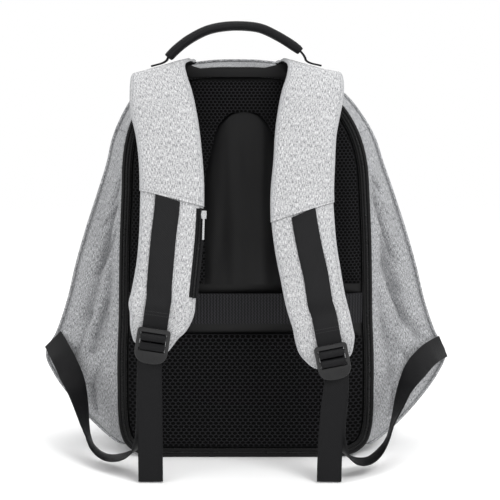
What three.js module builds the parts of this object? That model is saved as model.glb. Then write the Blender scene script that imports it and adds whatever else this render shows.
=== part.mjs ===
// An anti theft backpack standing on its base, harness side towards -Y, in millimetres with +Z up.
// The origin is the middle of the flat base. The bag is a hollow cloth shell with flared wings low
// on each side, closed by a padded back panel that carries the handle and the shoulder straps.
import * as THREE from "three";

// Driving sizes of the bag's body.
const bodyHeight = 450;
const bodyDepth = 150;
const panelWidth = 296;
const wingFlare = 92;
const topLean = 10;
const clothWall = 2.2;
const seamGap = 0.3;
const foldDepth = 5;

// Driving sizes of the back panel.
const boardThickness = 5;
const zipBandWidth = 11;
const zipBandThickness = 2;
const zipChainWidth = 4;
const zipChainThickness = 1.4;
const padThickness = 9;
const padBevel = 3;
const padMargin = 0.6;
const waistHeight = 180;
const upperPadRaised = 24;
const upperPadDrop = 14;
const channelDrop = 34;
const lumbarPadDrop = 32;
const luggageBandDrop = 3;
const upperPadBottom = waistHeight + upperPadRaised;
const upperPadTop = bodyHeight - upperPadDrop;
const channelTop = upperPadTop - channelDrop;
const channelWaistShare = 0.6;
const channelWidthTop = 60;
const channelLeanShare = 0.2;
const channelWidth = 90;
const spineThickness = 1.4;
const lumbarPadTop = waistHeight - lumbarPadDrop;
const luggageBandHeight = 35;
const luggageBandThickness = 2;
const luggageBandMiddle = waistHeight - luggageBandDrop;
const luggageSlot = 6.5;

// Driving sizes of the harness.
const webWidth = 27;
const webThickness = 1.4;
const webBend = webThickness * 0.7;
const harnessReach = 82;
const strapWidth = 70;
const strapThickness = 6.5;
const liningThickness = 1.6;
const padRounding = 0.35;
const flapThickness = 1.8;
const zipTapeWidth = 9.5;
const zipTapeThickness = 1.1;
const sliderWidth = 5.4;
const sliderLength = 8.5;
const sliderThickness = 2.6;
const sliderInset = 1;
const zipOverhang = 2;
const pullLength = 27;
const pullRing = 3;
const pullWidth = 2;
const pullThickness = 0.9;

// Driving sizes of the ladder buckles.
const buckleWidth = 36;
const buckleThickness = 3;
const buckleRail = 3.6;
const buckleCorner = 4;
const buckleTopBar = 5;
const buckleBar = 4.4;
const buckleSlot = 2.8;
const buckleTabLength = 13.5;
const buckleTabWidth = 25;
const buckleClearance = 0.6;
const buckleBevelShare = 0.2;
const webLoopTail = 20;
const webLoopLift = 32;
const webLoopStart = 22;

// Driving sizes of the carry handle.
const handleSpan = 154;
const handleRise = 38.5;
const gripThickness = 10.5;
const gripDepth = 27;
const handleWebDepth = 20;
const handleWebThickness = 2;
const handleTab = 17;
const handleClearance = 1.05;
const gripClearance = 0.4;
const rootReachShare = 0.8;
const gripSquareness = 0.6;
const slotSquareness = 0.01;

// How finely round shapes are divided.
const rowSteps = 2;
const gussetSteps = 4;
const frontSteps = 2;
const strapSteps = 3;
const roundSteps = 6;

const colours = {
  greyCloth: { color: 0xb9babb, roughness: 0.9, metalness: 0 },
  blackCloth: { color: 0x141416, roughness: 0.85, metalness: 0 },
  blackMesh: { color: 0x101012, roughness: 0.95, metalness: 0 },
  blackWebbing: { color: 0x232325, roughness: 0.6, metalness: 0 },
  blackPlastic: { color: 0x2a2a2c, roughness: 0.45, metalness: 0 },
  nickel: { color: 0xd8d9da, roughness: 0.25, metalness: 1 },
};

const halfPanel = panelWidth / 2;
const backPlane = -bodyDepth * 0.47;
const bag = new THREE.Group();
bag.position.y = backPlane;

function addPiece(name, geometry, colour) {
  const mesh = new THREE.Mesh(geometry, new THREE.MeshStandardMaterial(colours[colour]));
  mesh.name = name;
  bag.add(mesh);
  return mesh;
}

const vec = (x, y, z) => new THREE.Vector3(x, y, z);
const lerp = THREE.MathUtils.lerp;

// Turns a table of plain rows into rows with named columns.
function namedRows(columns, rows) {
  return rows.map((row) => Object.fromEntries(columns.map((column, i) => [column, row[i]])));
}

// The smooth value between two neighbours b and c, from 0 at b to 1 at c.
function smooth(a, b, c, d, t) {
  const bend = (3 * b - a - 3 * c + d) * t * t * t + (2 * a - 5 * b + 4 * c - d) * t * t;
  return b + 0.5 * ((c - a) * t + bend);
}

// Smooth rows between the rows of a table, at even steps.
function smoothRows(rows, steps) {
  const row = (i) => rows[THREE.MathUtils.clamp(i, 0, rows.length - 1)];
  const found = [];
  for (let i = 0; i + 1 < rows.length; i++)
    for (let s = 0; s < steps; s++) {
      const mix = (key) =>
        smooth(row(i - 1)[key], row(i)[key], row(i + 1)[key], row(i + 2)[key], s / steps);
      found.push(Object.fromEntries(Object.keys(rows[0]).map((key) => [key, mix(key)])));
    }
  found.push(rows[rows.length - 1]);
  return found;
}

// A closed body from its points and faces, with the faces turned to point out.
function closedBody(points, faces) {
  let volume = 0;
  const kept = faces.filter(([a, b, c]) => a !== b && b !== c && a !== c);
  for (const [a, b, c] of kept) volume += points[a].dot(points[b].clone().cross(points[c]));
  const index = kept.flatMap(([a, b, c]) => (volume > 0 ? [a, b, c] : [a, c, b]));
  const geometry = new THREE.BufferGeometry();
  const position = points.flatMap((p) => [p.x, p.y, p.z]);
  geometry.setAttribute("position", new THREE.Float32BufferAttribute(position, 3));
  geometry.setIndex(index);
  return geometry;
}

// A solid from rings of points that are skinned one after the other, with flat ends. The first
// half of each ring and the second are split along the same diagonals, so layers lie parallel.
function skin(rings) {
  const size = rings[0].length;
  const last = (rings.length - 1) * size;
  const faces = [];
  for (let start = 0; start < last; start += size)
    for (let i = 0; i < size; i++) {
      const [a, b] = [start + i, start + ((i + 1) % size)];
      const [c, d] = [b + size, a + size];
      if (i < size / 2) faces.push([a, b, c], [a, c, d]);
      else faces.push([a, b, d], [b, c, d]);
    }
  for (let i = 1; i + 1 < size; i++) {
    faces.push([0, i + 1, i]);
    faces.push([last, last + i, last + i + 1]);
  }
  return closedBody(rings.flat(), faces);
}

// A thin wall between an outer and an inner grid of points, grid[u][v]. A round wall closes on
// itself along u, and a domed one ends in a single point at its last v.
function wall(outer, inner, round, domed) {
  const columns = outer.length;
  const depth = outer[0].length;
  const points = [...outer.flat(), ...inner.flat()];
  const at = (side, u, v) =>
    side * columns * depth + (domed && v === depth - 1 ? 0 : u % columns) * depth + v;
  const faces = [];
  const quad = (a, b, c, d) => faces.push([a, b, c], [a, c, d]);
  const lastColumn = round ? columns : columns - 1;
  for (let u = 0; u < lastColumn; u++) {
    for (let v = 0; v + 1 < depth; v++) {
      quad(at(0, u, v), at(0, u + 1, v), at(0, u + 1, v + 1), at(0, u, v + 1));
      quad(at(1, u, v), at(1, u, v + 1), at(1, u + 1, v + 1), at(1, u + 1, v));
    }
    quad(at(0, u, 0), at(1, u, 0), at(1, u + 1, 0), at(0, u + 1, 0));
    const v = depth - 1;
    if (!domed) quad(at(0, u, v), at(0, u + 1, v), at(1, u + 1, v), at(1, u, v));
  }
  if (!round)
    for (let v = 0; v + 1 < depth; v++) {
      quad(at(0, 0, v), at(0, 0, v + 1), at(1, 0, v + 1), at(1, 0, v));
      quad(at(0, lastColumn, v), at(1, lastColumn, v), at(1, lastColumn, v + 1),
        at(0, lastColumn, v + 1));
    }
  const used = new Set(faces.flat());
  const renamed = new Map([...used].sort((a, b) => a - b).map((old, i) => [old, i]));
  return closedBody([...renamed.keys()].map((old) => points[old]),
    faces.map((face) => face.map((old) => renamed.get(old))));
}

// The bag's half outline from the middle of the base, round the wing, to the middle of the top.
// The rim is the edge of the back panel, the seam is where the gusset meets the front panel.
// rimX is a share of the half panel, flare of the wing's flare, rimZ and rise of the height and
// seamY of the depth. edgeIn and faceIn say how far towards the hub of the front the next two
// stations lie, and edgeY and faceY how deep.
const hubHeight = bodyHeight * 0.47;
const outline = namedRows(
  ["rimX", "rimZ", "flare", "rise", "seamY", "edgeIn", "edgeY", "faceIn", "faceY"],
  [
    [0, 0, 0, 0, 0.88, 0.06, 0.98, 0.35, 1],
    [0.4, 0, 0, 0, 0.88, 0.06, 0.98, 0.35, 1],
    [0.7, 0, 0.01, 0, 0.83, 0.06, 0.96, 0.33, 1],
    [0.865, 0.013, 0.03, -0.004, 0.46, 0.04, 0.82, 0.28, 0.98],
    [0.95, 0.038, 0.065, -0.007, 0.09, 0.04, 0.66, 0.25, 0.96],
    [0.987, 0.075, 0.33, -0.017, 0.3, 0.05, 0.62, 0.26, 0.95],
    [1, 0.124, 0.64, -0.007, 0.42, 0.06, 0.64, 0.28, 0.94],
    [1, 0.178, 0.9, 0.006, 0.49, 0.06, 0.66, 0.3, 0.94],
    [1, 0.231, 1, 0.004, 0.507, 0.06, 0.68, 0.3, 0.94],
    [0.995, 0.289, 0.87, 0.002, 0.507, 0.06, 0.68, 0.3, 0.94],
    [0.983, 0.367, 0.735, 0.011, 0.493, 0.06, 0.68, 0.29, 0.93],
    [0.976, 0.467, 0.615, 0.011, 0.453, 0.06, 0.66, 0.28, 0.92],
    [0.966, 0.573, 0.48, 0.002, 0.4, 0.06, 0.62, 0.28, 0.9],
    [0.948, 0.684, 0.325, -0.002, 0.353, 0.06, 0.57, 0.27, 0.87],
    [0.935, 0.755, 0.22, -0.002, 0.3, 0.06, 0.53, 0.26, 0.84],
    [0.905, 0.811, 0.175, 0.005, 0.28, 0.05, 0.49, 0.25, 0.82],
    [0.85, 0.862, 0.135, 0.007, 0.273, 0.05, 0.47, 0.24, 0.8],
    [0.75, 0.915, 0.105, 0.009, 0.273, 0.045, 0.45, 0.23, 0.78],
    [0.59, 0.961, 0.07, 0.01, 0.273, 0.04, 0.44, 0.22, 0.76],
    [0.39, 0.99, 0.03, 0.01, 0.273, 0.035, 0.43, 0.21, 0.75],
    [0.19, 0.999, 0.01, 0.012, 0.273, 0.035, 0.43, 0.2, 0.74],
    [0, 1, 0, 0.013, 0.273, 0.035, 0.43, 0.2, 0.74],
  ]);
const cornerIndex = 4;
const wingIndex = 8;
const notchIndex = 15.5;

// Soft folds of the side gussets, each a line from one place on the gusset to another. up is a
// share of the body's height, out of the way from the rim to the seam, reach of the panel's width
// and dent of the fold depth, inwards where it is positive.
const folds = namedRows(["side", "upFrom", "outFrom", "upTo", "outTo", "reach", "dent"], [
  [-1, 0.72, 0.15, 0.36, 0.62, 0.032, 0.8],
  [-1, 0.47, 0.2, 0.27, 0.38, 0.024, 1],
  [-1, 0.5, 0.75, 0.3, 0.9, 0.035, -0.7],
  [-1, 0.2, 0.3, 0.12, 0.6, 0.03, 0.6],
  [1, 0.7, 0.2, 0.5, 0.6, 0.03, 0.8],
  [1, 0.5, 0.3, 0.3, 0.72, 0.03, 0.9],
  [1, 0.42, 0.15, 0.2, 0.25, 0.022, 0.7],
  [1, 0.3, 0.6, 0.2, 0.85, 0.035, -0.6],
]);

// The top of the bag leans a little to one side as it stands.
const leanStart = bodyHeight * 0.67;
function leaned(point) {
  const share = Math.max(point.z - leanStart, 0) / (bodyHeight - leanStart);
  return vec(point.x - topLean * share * share, point.y, Math.max(point.z, 0));
}

// The four stations of one row of the outline on one side: rim, seam, edge and face.
function stationsOf(row, side) {
  const rim = vec(side * row.rimX * halfPanel, 0, row.rimZ * bodyHeight);
  const seamX = side * (row.rimX * halfPanel + row.flare * wingFlare);
  const seam = vec(seamX, row.seamY * bodyDepth, (row.rimZ + row.rise) * bodyHeight);
  const hub = vec(0, 0, hubHeight);
  const inwards = (share, depth) => seam.clone().lerp(hub, share).setY(depth * bodyDepth);
  return [rim, seam, inwards(row.edgeIn, row.edgeY), inwards(row.faceIn, row.faceY)];
}

// Closed smooth curves through the same station of every row, all the way round.
const loopRows = [
  ...outline.map((row) => stationsOf(row, 1)),
  ...outline.slice(1, -1).reverse().map((row) => stationsOf(row, -1)),
];
const loopSize = loopRows.length * rowSteps;
const loopCurves = [0, 1, 2, 3].map((k) =>
  new THREE.CatmullRomCurve3(loopRows.map((row) => row[k]), true, "centripetal"));
const loopStations = (u) => loopCurves.map((curve) => curve.getPoint(u / loopSize));

// How deep the folds press a place of the gusset in.
function dentAt(point, side, out) {
  let dent = 0;
  for (const fold of folds) {
    if (fold.side !== side) continue;
    const along = (point.z / bodyHeight - fold.upFrom) / (fold.upTo - fold.upFrom);
    const nearest = THREE.MathUtils.clamp(along, 0, 1);
    const offUp = (point.z / bodyHeight - lerp(fold.upFrom, fold.upTo, nearest)) * bodyHeight;
    const offOut = (out - lerp(fold.outFrom, fold.outTo, nearest)) * wingFlare;
    const off = Math.hypot(offUp, offOut) / (fold.reach * panelWidth);
    dent += fold.dent * Math.exp(-off * off);
  }
  return dent * foldDepth * Math.sin(Math.PI * out);
}

// The shell's outer surface: a gusset from the rim to the seam, then the domed front.
function shellColumn(u) {
  const [rim, seam, edge, face] = loopStations(u);
  const side = Math.sign(rim.x);
  const outwards = vec(seam.y - rim.y, -Math.hypot(seam.x - rim.x, seam.z - rim.z), 0).normalize();
  outwards.x *= side;
  const column = [];
  for (let v = 0; v < gussetSteps; v++) {
    const point = rim.clone().lerp(seam, v / gussetSteps);
    column.push(point.addScaledVector(outwards, -dentAt(point, side, v / gussetSteps)));
  }
  const pole = vec(0, bodyDepth, hubHeight);
  const front = new THREE.CatmullRomCurve3([seam, edge, face, pole]);
  for (let v = 0; v <= 3 * frontSteps; v++) column.push(front.getPoint(v / (3 * frontSteps)));
  return column.map(leaned);
}
const shellOuter = [];
for (let u = 0; u < loopSize; u++) shellOuter.push(shellColumn(u));
const shellDepth = shellOuter[0].length;

// The outward direction at each point of the shell, from its neighbours.
function shellNormal(u, v) {
  if (v === shellDepth - 1) return vec(0, 1, 0);
  const at = (i, j) => shellOuter[(i + loopSize) % loopSize][j];
  const here = at(u, v);
  const normal = vec(0, 0, 0);
  const ring = [at(u + 1, v), at(u, v + 1), at(u - 1, v)];
  if (v > 0) ring.push(at(u, v - 1), at(u + 1, v));
  for (let i = 0; i + 1 < ring.length; i++)
    normal.add(ring[i + 1].clone().sub(here).cross(ring[i].clone().sub(here)).normalize());
  return normal.normalize();
}
const shellInner = shellOuter.map((column, u) =>
  column.map((point, v) => point.clone().addScaledVector(shellNormal(u, v), -clothWall)));

// One cloth panel of the shell, cut back from its neighbours by half the seam gap at each seam.
function clothPanel(name, uFrom, uTo, vFrom, vTo, atRim) {
  const round = uTo - uFrom === loopSize;
  const domed = vTo === shellDepth - 1;
  const cut = (grid) => {
    const rows = [];
    for (let u = uFrom; u <= uTo - (round ? 1 : 0); u++)
      rows.push(grid[(u + loopSize) % loopSize].slice(vFrom, vTo + 1).map((p) => p.clone()));
    const pull = (point, towards) => {
      const way = towards.clone().sub(point);
      point.addScaledVector(way, seamGap / 2 / way.length());
    };
    rows.forEach((row) => {
      if (!atRim) pull(row[0], row[1]);
      if (!domed) pull(row[row.length - 1], row[row.length - 2]);
    });
    if (!round)
      rows[0].forEach((point, v) => {
        pull(point, rows[1][v]);
        pull(rows[rows.length - 1][v], rows[rows.length - 2][v]);
      });
    return rows;
  };
  addPiece(name, wall(cut(shellOuter), cut(shellInner), round, domed), "greyCloth");
}

const cornerStep = cornerIndex * rowSteps;
const notchStep = notchIndex * rowSteps;
clothPanel("base_panel", -cornerStep, cornerStep, 0, gussetSteps, true);
clothPanel("side_gusset_right", cornerStep, notchStep, 0, gussetSteps, true);
clothPanel("top_gusset", notchStep, loopSize - notchStep, 0, gussetSteps, true);
clothPanel("side_gusset_left", loopSize - notchStep, loopSize - cornerStep, 0, gussetSteps, true);
clothPanel("front_panel", 0, loopSize, gussetSteps, shellDepth - 1, false);

// The rim as a flat outline of { x, z } points, and the same outline drawn in by a distance.
const rimLine = shellOuter.map((column) => new THREE.Vector2(column[0].x, column[0].z));
function drawnIn(distance) {
  return rimLine.map((point, i) => {
    const before = rimLine[(i + loopSize - 1) % loopSize];
    const after = rimLine[(i + 1) % loopSize];
    const along = after.clone().sub(before).normalize();
    return new THREE.Vector2(point.x - along.y * distance, point.y + along.x * distance);
  });
}

// A flat piece standing in the panel's plane from an outline of { x, z } points. Its back lies at
// the depth given and it grows towards the harness side.
function panelPiece(name, points, thickness, backY, colour, { holes = [], bevel = 0 } = {}) {
  const shape = new THREE.Shape(points);
  holes.forEach((hole) => shape.holes.push(new THREE.Path(hole)));
  const geometry = new THREE.ExtrudeGeometry(shape, {
    depth: thickness - 2 * bevel,
    bevelEnabled: bevel > 0,
    bevelThickness: bevel,
    bevelSize: bevel,
    bevelOffset: -bevel,
    bevelSegments: 1,
  });
  geometry.translate(0, 0, bevel).rotateX(Math.PI / 2).translate(0, backY, 0);
  return addPiece(name, geometry, colour);
}

const bandFront = -seamGap - zipBandThickness;
const bandInside = drawnIn(zipBandWidth);
const padInside = drawnIn(zipBandWidth + padMargin);
panelPiece("back_board", drawnIn(clothWall + 2 * seamGap), boardThickness, boardThickness,
  "blackCloth");
panelPiece("zip_band", rimLine, zipBandThickness, -seamGap, "blackCloth", { holes: [bandInside] });
panelPiece("zip_chain", drawnIn((zipBandWidth - zipChainWidth) / 2), zipChainThickness,
  bandFront - seamGap, "blackPlastic", { holes: [drawnIn((zipBandWidth + zipChainWidth) / 2)] });

// The points of the pads' outer edge between two heights, on the right going up and then on the
// left coming down.
function padEdge(low, high) {
  const kept = padInside.filter((point) => point.y > low + padBevel && point.y < high - padBevel);
  const crossing = (z, side) => {
    const line = padInside.filter((point) => Math.sign(point.x) === side);
    const ordered = line.sort((a, b) => a.y - b.y);
    const i = ordered.findIndex((point) => point.y >= z);
    const share = (z - ordered[i - 1].y) / (ordered[i].y - ordered[i - 1].y);
    return ordered[i - 1].clone().lerp(ordered[i], share);
  };
  const ends = { right: crossing(low, 1), left: crossing(low, -1) };
  const tops = { right: crossing(high, 1), left: crossing(high, -1) };
  const rising = kept.filter((point) => point.x > 0).sort((a, b) => a.y - b.y);
  const falling = kept.filter((point) => point.x < 0).sort((a, b) => b.y - a.y);
  return [ends.right, ...rising, tops.right, tops.left, ...falling, ends.left];
}

// The spine channel's outline, open at its foot, drawn out by a distance.
function channelEdge(grow) {
  const half = channelWidth / 2 + grow;
  const halfTop = channelWidthTop / 2 + grow;
  const corner = channelWidthTop / 4;
  const top = channelTop + grow;
  const waist = lerp(upperPadBottom, channelTop, channelWaistShare);
  const middle = -topLean * channelLeanShare;
  return [
    [-half, upperPadBottom], [-half, waist], [-halfTop, top - corner],
    [-halfTop + corner, top], [halfTop - corner, top],
    [halfTop, top - corner], [half, waist], [half, upperPadBottom],
  ].map(([x, z]) => new THREE.Vector2(x + middle, z));
}

const panelFront = -seamGap;
panelPiece("upper_back_pad", [...padEdge(upperPadBottom, upperPadTop), ...channelEdge(0)],
  padThickness, panelFront, "blackMesh", { bevel: padBevel });
panelPiece("spine_panel", channelEdge(-padMargin), spineThickness, panelFront, "blackCloth");
const lumbarOutline = padInside.filter((point) => point.y < lumbarPadTop - padBevel);
lumbarOutline.sort((a, b) => Math.atan2(a.x, lumbarPadTop / 2 - a.y)
  - Math.atan2(b.x, lumbarPadTop / 2 - b.y));
const lumbarTop = padEdge(lumbarPadTop, upperPadTop);
panelPiece("lumbar_pad", [...lumbarOutline, lumbarTop[0], lumbarTop[lumbarTop.length - 1]],
  padThickness, panelFront, "blackMesh", { bevel: padBevel });

// The stations of a strip with its direction along, its side direction and its outward normal.
function framed(stations) {
  return stations.map((station, i) => {
    const before = stations[Math.max(i - 1, 0)].at;
    const after = stations[Math.min(i + 1, stations.length - 1)].at;
    const along = after.clone().sub(before).normalize();
    const across = station.across.clone();
    across.addScaledVector(along, -across.dot(along)).normalize();
    const normal = along.clone().cross(across).normalize();
    return { ...station, along, across, normal };
  });
}

// A layer over framed stations between two heights above them, with its side edges at the two
// distances from the middle. A rounded layer has its upper corners cut by a share of its height.
function layer(frames, near, far, left, right, rounding = 0) {
  return skin(frames.map((frame, i) => {
    const [low, high, l, r] = [near, far, left, right].map((value) =>
      typeof value === "function" ? value(frame, i) : value);
    const cut = (high - low) * rounding;
    const corners = rounding
      ? [[l, low], [r, low], [r, high - cut], [r - cut, high], [l + cut, high], [l, high - cut]]
      : [[l, low], [r, low], [r, high], [l, high]];
    return corners.map(([side, up]) =>
      frame.at.clone().addScaledVector(frame.across, side).addScaledVector(frame.normal, up));
  }));
}

// The luggage band bridges the panel from side to side, with a slot behind it.
const luggageEnd = padEdge(luggageBandMiddle + luggageBandHeight / 2, upperPadTop)[0].x;
const luggageY = panelFront - luggageSlot - luggageBandThickness / 2;
const luggageStations = [[1, 0], [0.96, 0.25], [0.9, 0.85], [0.83, 1], [0.4, 1]];
const luggageHalf = luggageStations.map(([out, off]) => {
  const low = panelFront - luggageBandThickness / 2;
  return vec(out * luggageEnd, lerp(low, luggageY, off), luggageBandMiddle);
});
const luggagePath = [...luggageHalf, ...luggageHalf.map((p) => vec(-p.x, p.y, p.z)).reverse()];
const luggageFrames = framed(luggagePath.map((at) => ({ at, across: vec(0, 0, 1) })));
addPiece("luggage_band", layer(luggageFrames, -luggageBandThickness / 2,
  luggageBandThickness / 2, -luggageBandHeight / 2, luggageBandHeight / 2), "blackWebbing");

// The shoulder straps from the root at the top of the bag to the tip behind the buckle, along
// the strap's underside. height is a share of the body's height, away of the harness's reach from
// the back plane, middle and web of the half panel, width of the strap's width. tilt is the
// slope of the strap's cross direction, plump the share of the full padding and web the place of
// the webbing's middle.
const strapColumns = ["height", "away", "middle", "width", "tilt", "plump", "web"];
const strapTables = {
  left: namedRows(strapColumns, [
    [0.985, -0.24, -0.6, 1, 0.34, 0.35, -0.6],
    [0.983, -0.06, -0.605, 0.98, 0.34, 0.4, -0.605],
    [0.987, 0.11, -0.62, 0.93, 0.32, 0.5, -0.62],
    [0.982, 0.26, -0.64, 0.86, 0.29, 0.6, -0.64],
    [0.957, 0.355, -0.635, 0.9, 0.22, 0.8, -0.635],
    [0.93, 0.41, -0.622, 0.96, 0.14, 0.95, -0.622],
    [0.9, 0.455, -0.608, 0.99, 0.05, 1, -0.6],
    [0.85, 0.54, -0.575, 0.97, 0, 1, -0.57],
    [0.79, 0.65, -0.55, 0.96, 0, 1, -0.56],
    [0.73, 0.73, -0.537, 0.97, 0, 1, -0.558],
    [0.66, 0.825, -0.537, 0.98, 0, 1, -0.57],
    [0.6, 0.89, -0.545, 0.97, 0, 1, -0.592],
    [0.53, 0.95, -0.565, 0.965, -0.03, 1, -0.612],
    [0.46, 0.995, -0.595, 1, -0.06, 1, -0.63],
    [0.43, 1, -0.611, 1.03, -0.1, 1, -0.64],
    [0.405, 1, -0.629, 0.965, -0.15, 1, -0.65],
    [0.3736, 1, -0.66, 0.8, -0.2, 1, -0.66],
    [0.336, 1, -0.684, 0.567, -0.2, 0.9, -0.67],
    [0.3244, 1, -0.696, 0.353, -0.2, 0.7, -0.67],
  ]),
  right: namedRows(strapColumns, [
    [0.983, -0.24, 0.45, 0.98, -0.34, 0.35, 0.45],
    [0.981, -0.06, 0.46, 0.97, -0.34, 0.4, 0.46],
    [0.987, 0.11, 0.485, 0.92, -0.3, 0.5, 0.485],
    [0.982, 0.26, 0.51, 0.86, -0.25, 0.6, 0.51],
    [0.957, 0.355, 0.51, 0.9, -0.18, 0.8, 0.51],
    [0.93, 0.41, 0.495, 0.94, -0.11, 0.95, 0.495],
    [0.9, 0.455, 0.475, 0.945, -0.04, 1, 0.475],
    [0.84, 0.56, 0.444, 0.93, 0, 1, 0.444],
    [0.77, 0.68, 0.43, 0.93, 0, 1, 0.425],
    [0.7, 0.77, 0.416, 0.955, 0, 1, 0.41],
    [0.636, 0.86, 0.42, 0.97, 0, 1, 0.43],
    [0.57, 0.925, 0.442, 0.955, 0.03, 1, 0.468],
    [0.51, 0.96, 0.475, 0.94, 0.07, 1, 0.51],
    [0.45, 1, 0.51, 0.93, 0.1, 1, 0.54],
    [0.397, 1, 0.555, 0.915, 0.18, 1, 0.57],
    [0.366, 1, 0.575, 0.92, 0.2, 1, 0.585],
    [0.339, 1, 0.596, 0.9, 0.22, 1, 0.6],
    [0.314, 1, 0.62, 0.765, 0.22, 0.95, 0.61],
    [0.297, 1, 0.637, 0.61, 0.24, 0.85, 0.61],
    [0.29, 1, 0.645, 0.4, 0.24, 0.7, 0.61],
  ]),
};
const flapEnds = { left: { height: 0.686, tilt: -0.247 }, right: { height: 0.654, tilt: 0.282 } };
const padLow = liningThickness + seamGap;
const padHigh = padLow + strapThickness;
const flapGap = 2 * seamGap;

function strapStation(row) {
  return {
    at: vec(row.middle * halfPanel, -row.away * harnessReach, row.height * bodyHeight),
    across: vec(1, 0, row.tilt),
    half: (row.width * strapWidth) / 2,
    plump: row.plump,
    webOff: (row.web - row.middle) * halfPanel,
  };
}

// The row of a smoothed strap at a height below its fold.
const foldRowCount = 5;
const foldRows = foldRowCount * strapSteps;
function rowAt(rows, height) {
  const i = rows.findIndex((row, k) => k > foldRows && row.height < height);
  const share = (rows[i - 1].height - height) / (rows[i - 1].height - rows[i].height);
  const mix = (key) => lerp(rows[i - 1][key], rows[i][key], share);
  return Object.fromEntries(Object.keys(rows[0]).map((key) => [key, mix(key)]));
}

// How high the padding stands above the strap's underside at a station.
const padTop = (frame) => padLow + strapThickness * frame.plump;

function makeStrap(side) {
  const rows = smoothRows(strapTables[side], strapSteps);
  const frames = framed(rows.map(strapStation));
  const edge = (sign) => (frame) => sign * frame.half;
  addPiece(`strap_lining_${side}`, layer(frames, 0, liningThickness, edge(-1), edge(1)),
    "blackMesh");
  addPiece(`strap_pad_${side}`, layer(frames, padLow, padTop, edge(-1), edge(1), padRounding),
    "greyCloth");

  const end = flapEnds[side];
  const coveredTo = end.height + Math.abs(end.tilt) * (strapWidth / bodyHeight);
  const covered = rows.filter((row, i) => i < foldRows || row.height > coveredTo);
  const flapFrames = framed([...covered, rowAt(rows, end.height)].map(strapStation));
  const slanted = flapFrames[flapFrames.length - 1];
  slanted.across.addScaledVector(slanted.along, -end.tilt);
  addPiece(`strap_flap_${side}`, layer(flapFrames, (frame) => padTop(frame) + flapGap,
    (frame) => padTop(frame) + flapGap + flapThickness, edge(-1), edge(1)), "greyCloth");
  return { rows, frames, flapFrames };
}
const straps = { left: makeStrap("left"), right: makeStrap("right") };

// A buckle's own frame: its top middle on the strap's padding, with the directions across it,
// down it and out from it. v is measured down from its top edge and n outwards.
const padFace = -harnessReach - padHigh;
const bucklePlaces = {
  left: { middle: -0.659, height: 0.3833, tilt: -0.15 },
  right: { middle: 0.615, height: 0.3444, tilt: 0.2 },
};
function buckleFrame(side) {
  const { middle, height, tilt } = bucklePlaces[side];
  const across = vec(1, 0, tilt).normalize();
  return {
    origin: vec(middle * halfPanel, padFace, height * bodyHeight),
    across,
    down: vec(across.z, 0, -across.x),
    out: vec(0, -1, 0),
  };
}
const inFrame = (frame, u, v, n) =>
  frame.origin.clone().addScaledVector(frame.across, u).addScaledVector(frame.down, v)
    .addScaledVector(frame.out, n);

// Heights of the webbing layers and of the buckle above the padding.
const firstWeb = seamGap + webThickness / 2;
const webStep = webThickness + 2 * seamGap;
const secondWeb = firstWeb + webStep;
const buckleLow = 2 * webStep + buckleClearance;
const buckleHigh = buckleLow + buckleThickness;
const overBar = buckleHigh + buckleClearance + webThickness / 2;

// Places down the buckle, where a web pass is the middle of the webbing in a slot.
const barOneStart = buckleTopBar + buckleSlot;
const barOneEnd = barOneStart + buckleBar;
const barTwoStart = barOneEnd + 2 * buckleSlot;
const barTwoEnd = barTwoStart + buckleBar;
const tabStart = barTwoEnd + buckleSlot;
const buckleLength = tabStart + buckleTabLength;
const passOne = buckleTopBar + buckleSlot / 2;
const passTwo = barOneEnd + buckleSlot / 2;
const passThree = barTwoStart - buckleSlot / 2;
const passFour = barTwoEnd + buckleSlot / 2;

function makeBuckle(side) {
  const half = buckleWidth / 2;
  const tab = buckleTabWidth / 2;
  const r = buckleCorner;
  const shape = new THREE.Shape();
  shape.moveTo(-half, -tabStart);
  shape.lineTo(-tab - r, -tabStart - r);
  shape.lineTo(-tab, -buckleLength + r);
  shape.quadraticCurveTo(-tab, -buckleLength, -tab + r, -buckleLength);
  shape.lineTo(tab - r, -buckleLength);
  shape.quadraticCurveTo(tab, -buckleLength, tab, -buckleLength + r);
  shape.lineTo(tab + r, -tabStart - r);
  shape.lineTo(half, -tabStart);
  shape.lineTo(half, -r);
  shape.quadraticCurveTo(half, 0, half - r, 0);
  shape.lineTo(-half + r, 0);
  shape.quadraticCurveTo(-half, 0, -half, -r);
  const slotHalf = half - buckleRail;
  const slots = [[buckleTopBar, barOneStart], [barOneEnd, barTwoStart], [barTwoEnd, tabStart]];
  for (const [from, to] of slots)
    shape.holes.push(new THREE.Path([[-slotHalf, -from], [-slotHalf, -to], [slotHalf, -to],
      [slotHalf, -from]].map(([x, y]) => new THREE.Vector2(x, y))));
  const bevel = buckleThickness * buckleBevelShare;
  const geometry = new THREE.ExtrudeGeometry(shape, {
    depth: buckleThickness - 2 * bevel, bevelThickness: bevel, bevelSize: bevel,
    bevelOffset: -bevel, bevelSegments: 1, curveSegments: roundSteps / 2,
  });
  geometry.translate(0, 0, buckleLow + bevel);
  const frame = buckleFrame(side);
  const matrix = new THREE.Matrix4();
  matrix.makeBasis(frame.across, frame.down.clone().negate(), frame.out);
  geometry.applyMatrix4(matrix.setPosition(frame.origin));
  addPiece(`ladder_buckle_${side}`, geometry, "blackPlastic");
}

// A length of webbing over framed stations.
function webbing(name, frames, width = webWidth, thickness = webThickness) {
  addPiece(name, layer(frames, -thickness / 2, thickness / 2, -width / 2, width / 2),
    "blackWebbing");
}

// Webbing that goes over a bar from one pass through a slot to another, with cut corners.
function overTheBar(passIn, passOut, highIn, highOut) {
  const step = Math.sign(passOut - passIn);
  return [
    [passIn - step * webBend, highIn], [passIn, highIn + webBend], [passIn, overBar - webBend],
    [passIn + step * webBend, overBar], [passOut - step * webBend, overBar],
    [passOut, overBar - webBend], [passOut, highOut + webBend],
  ];
}

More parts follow.
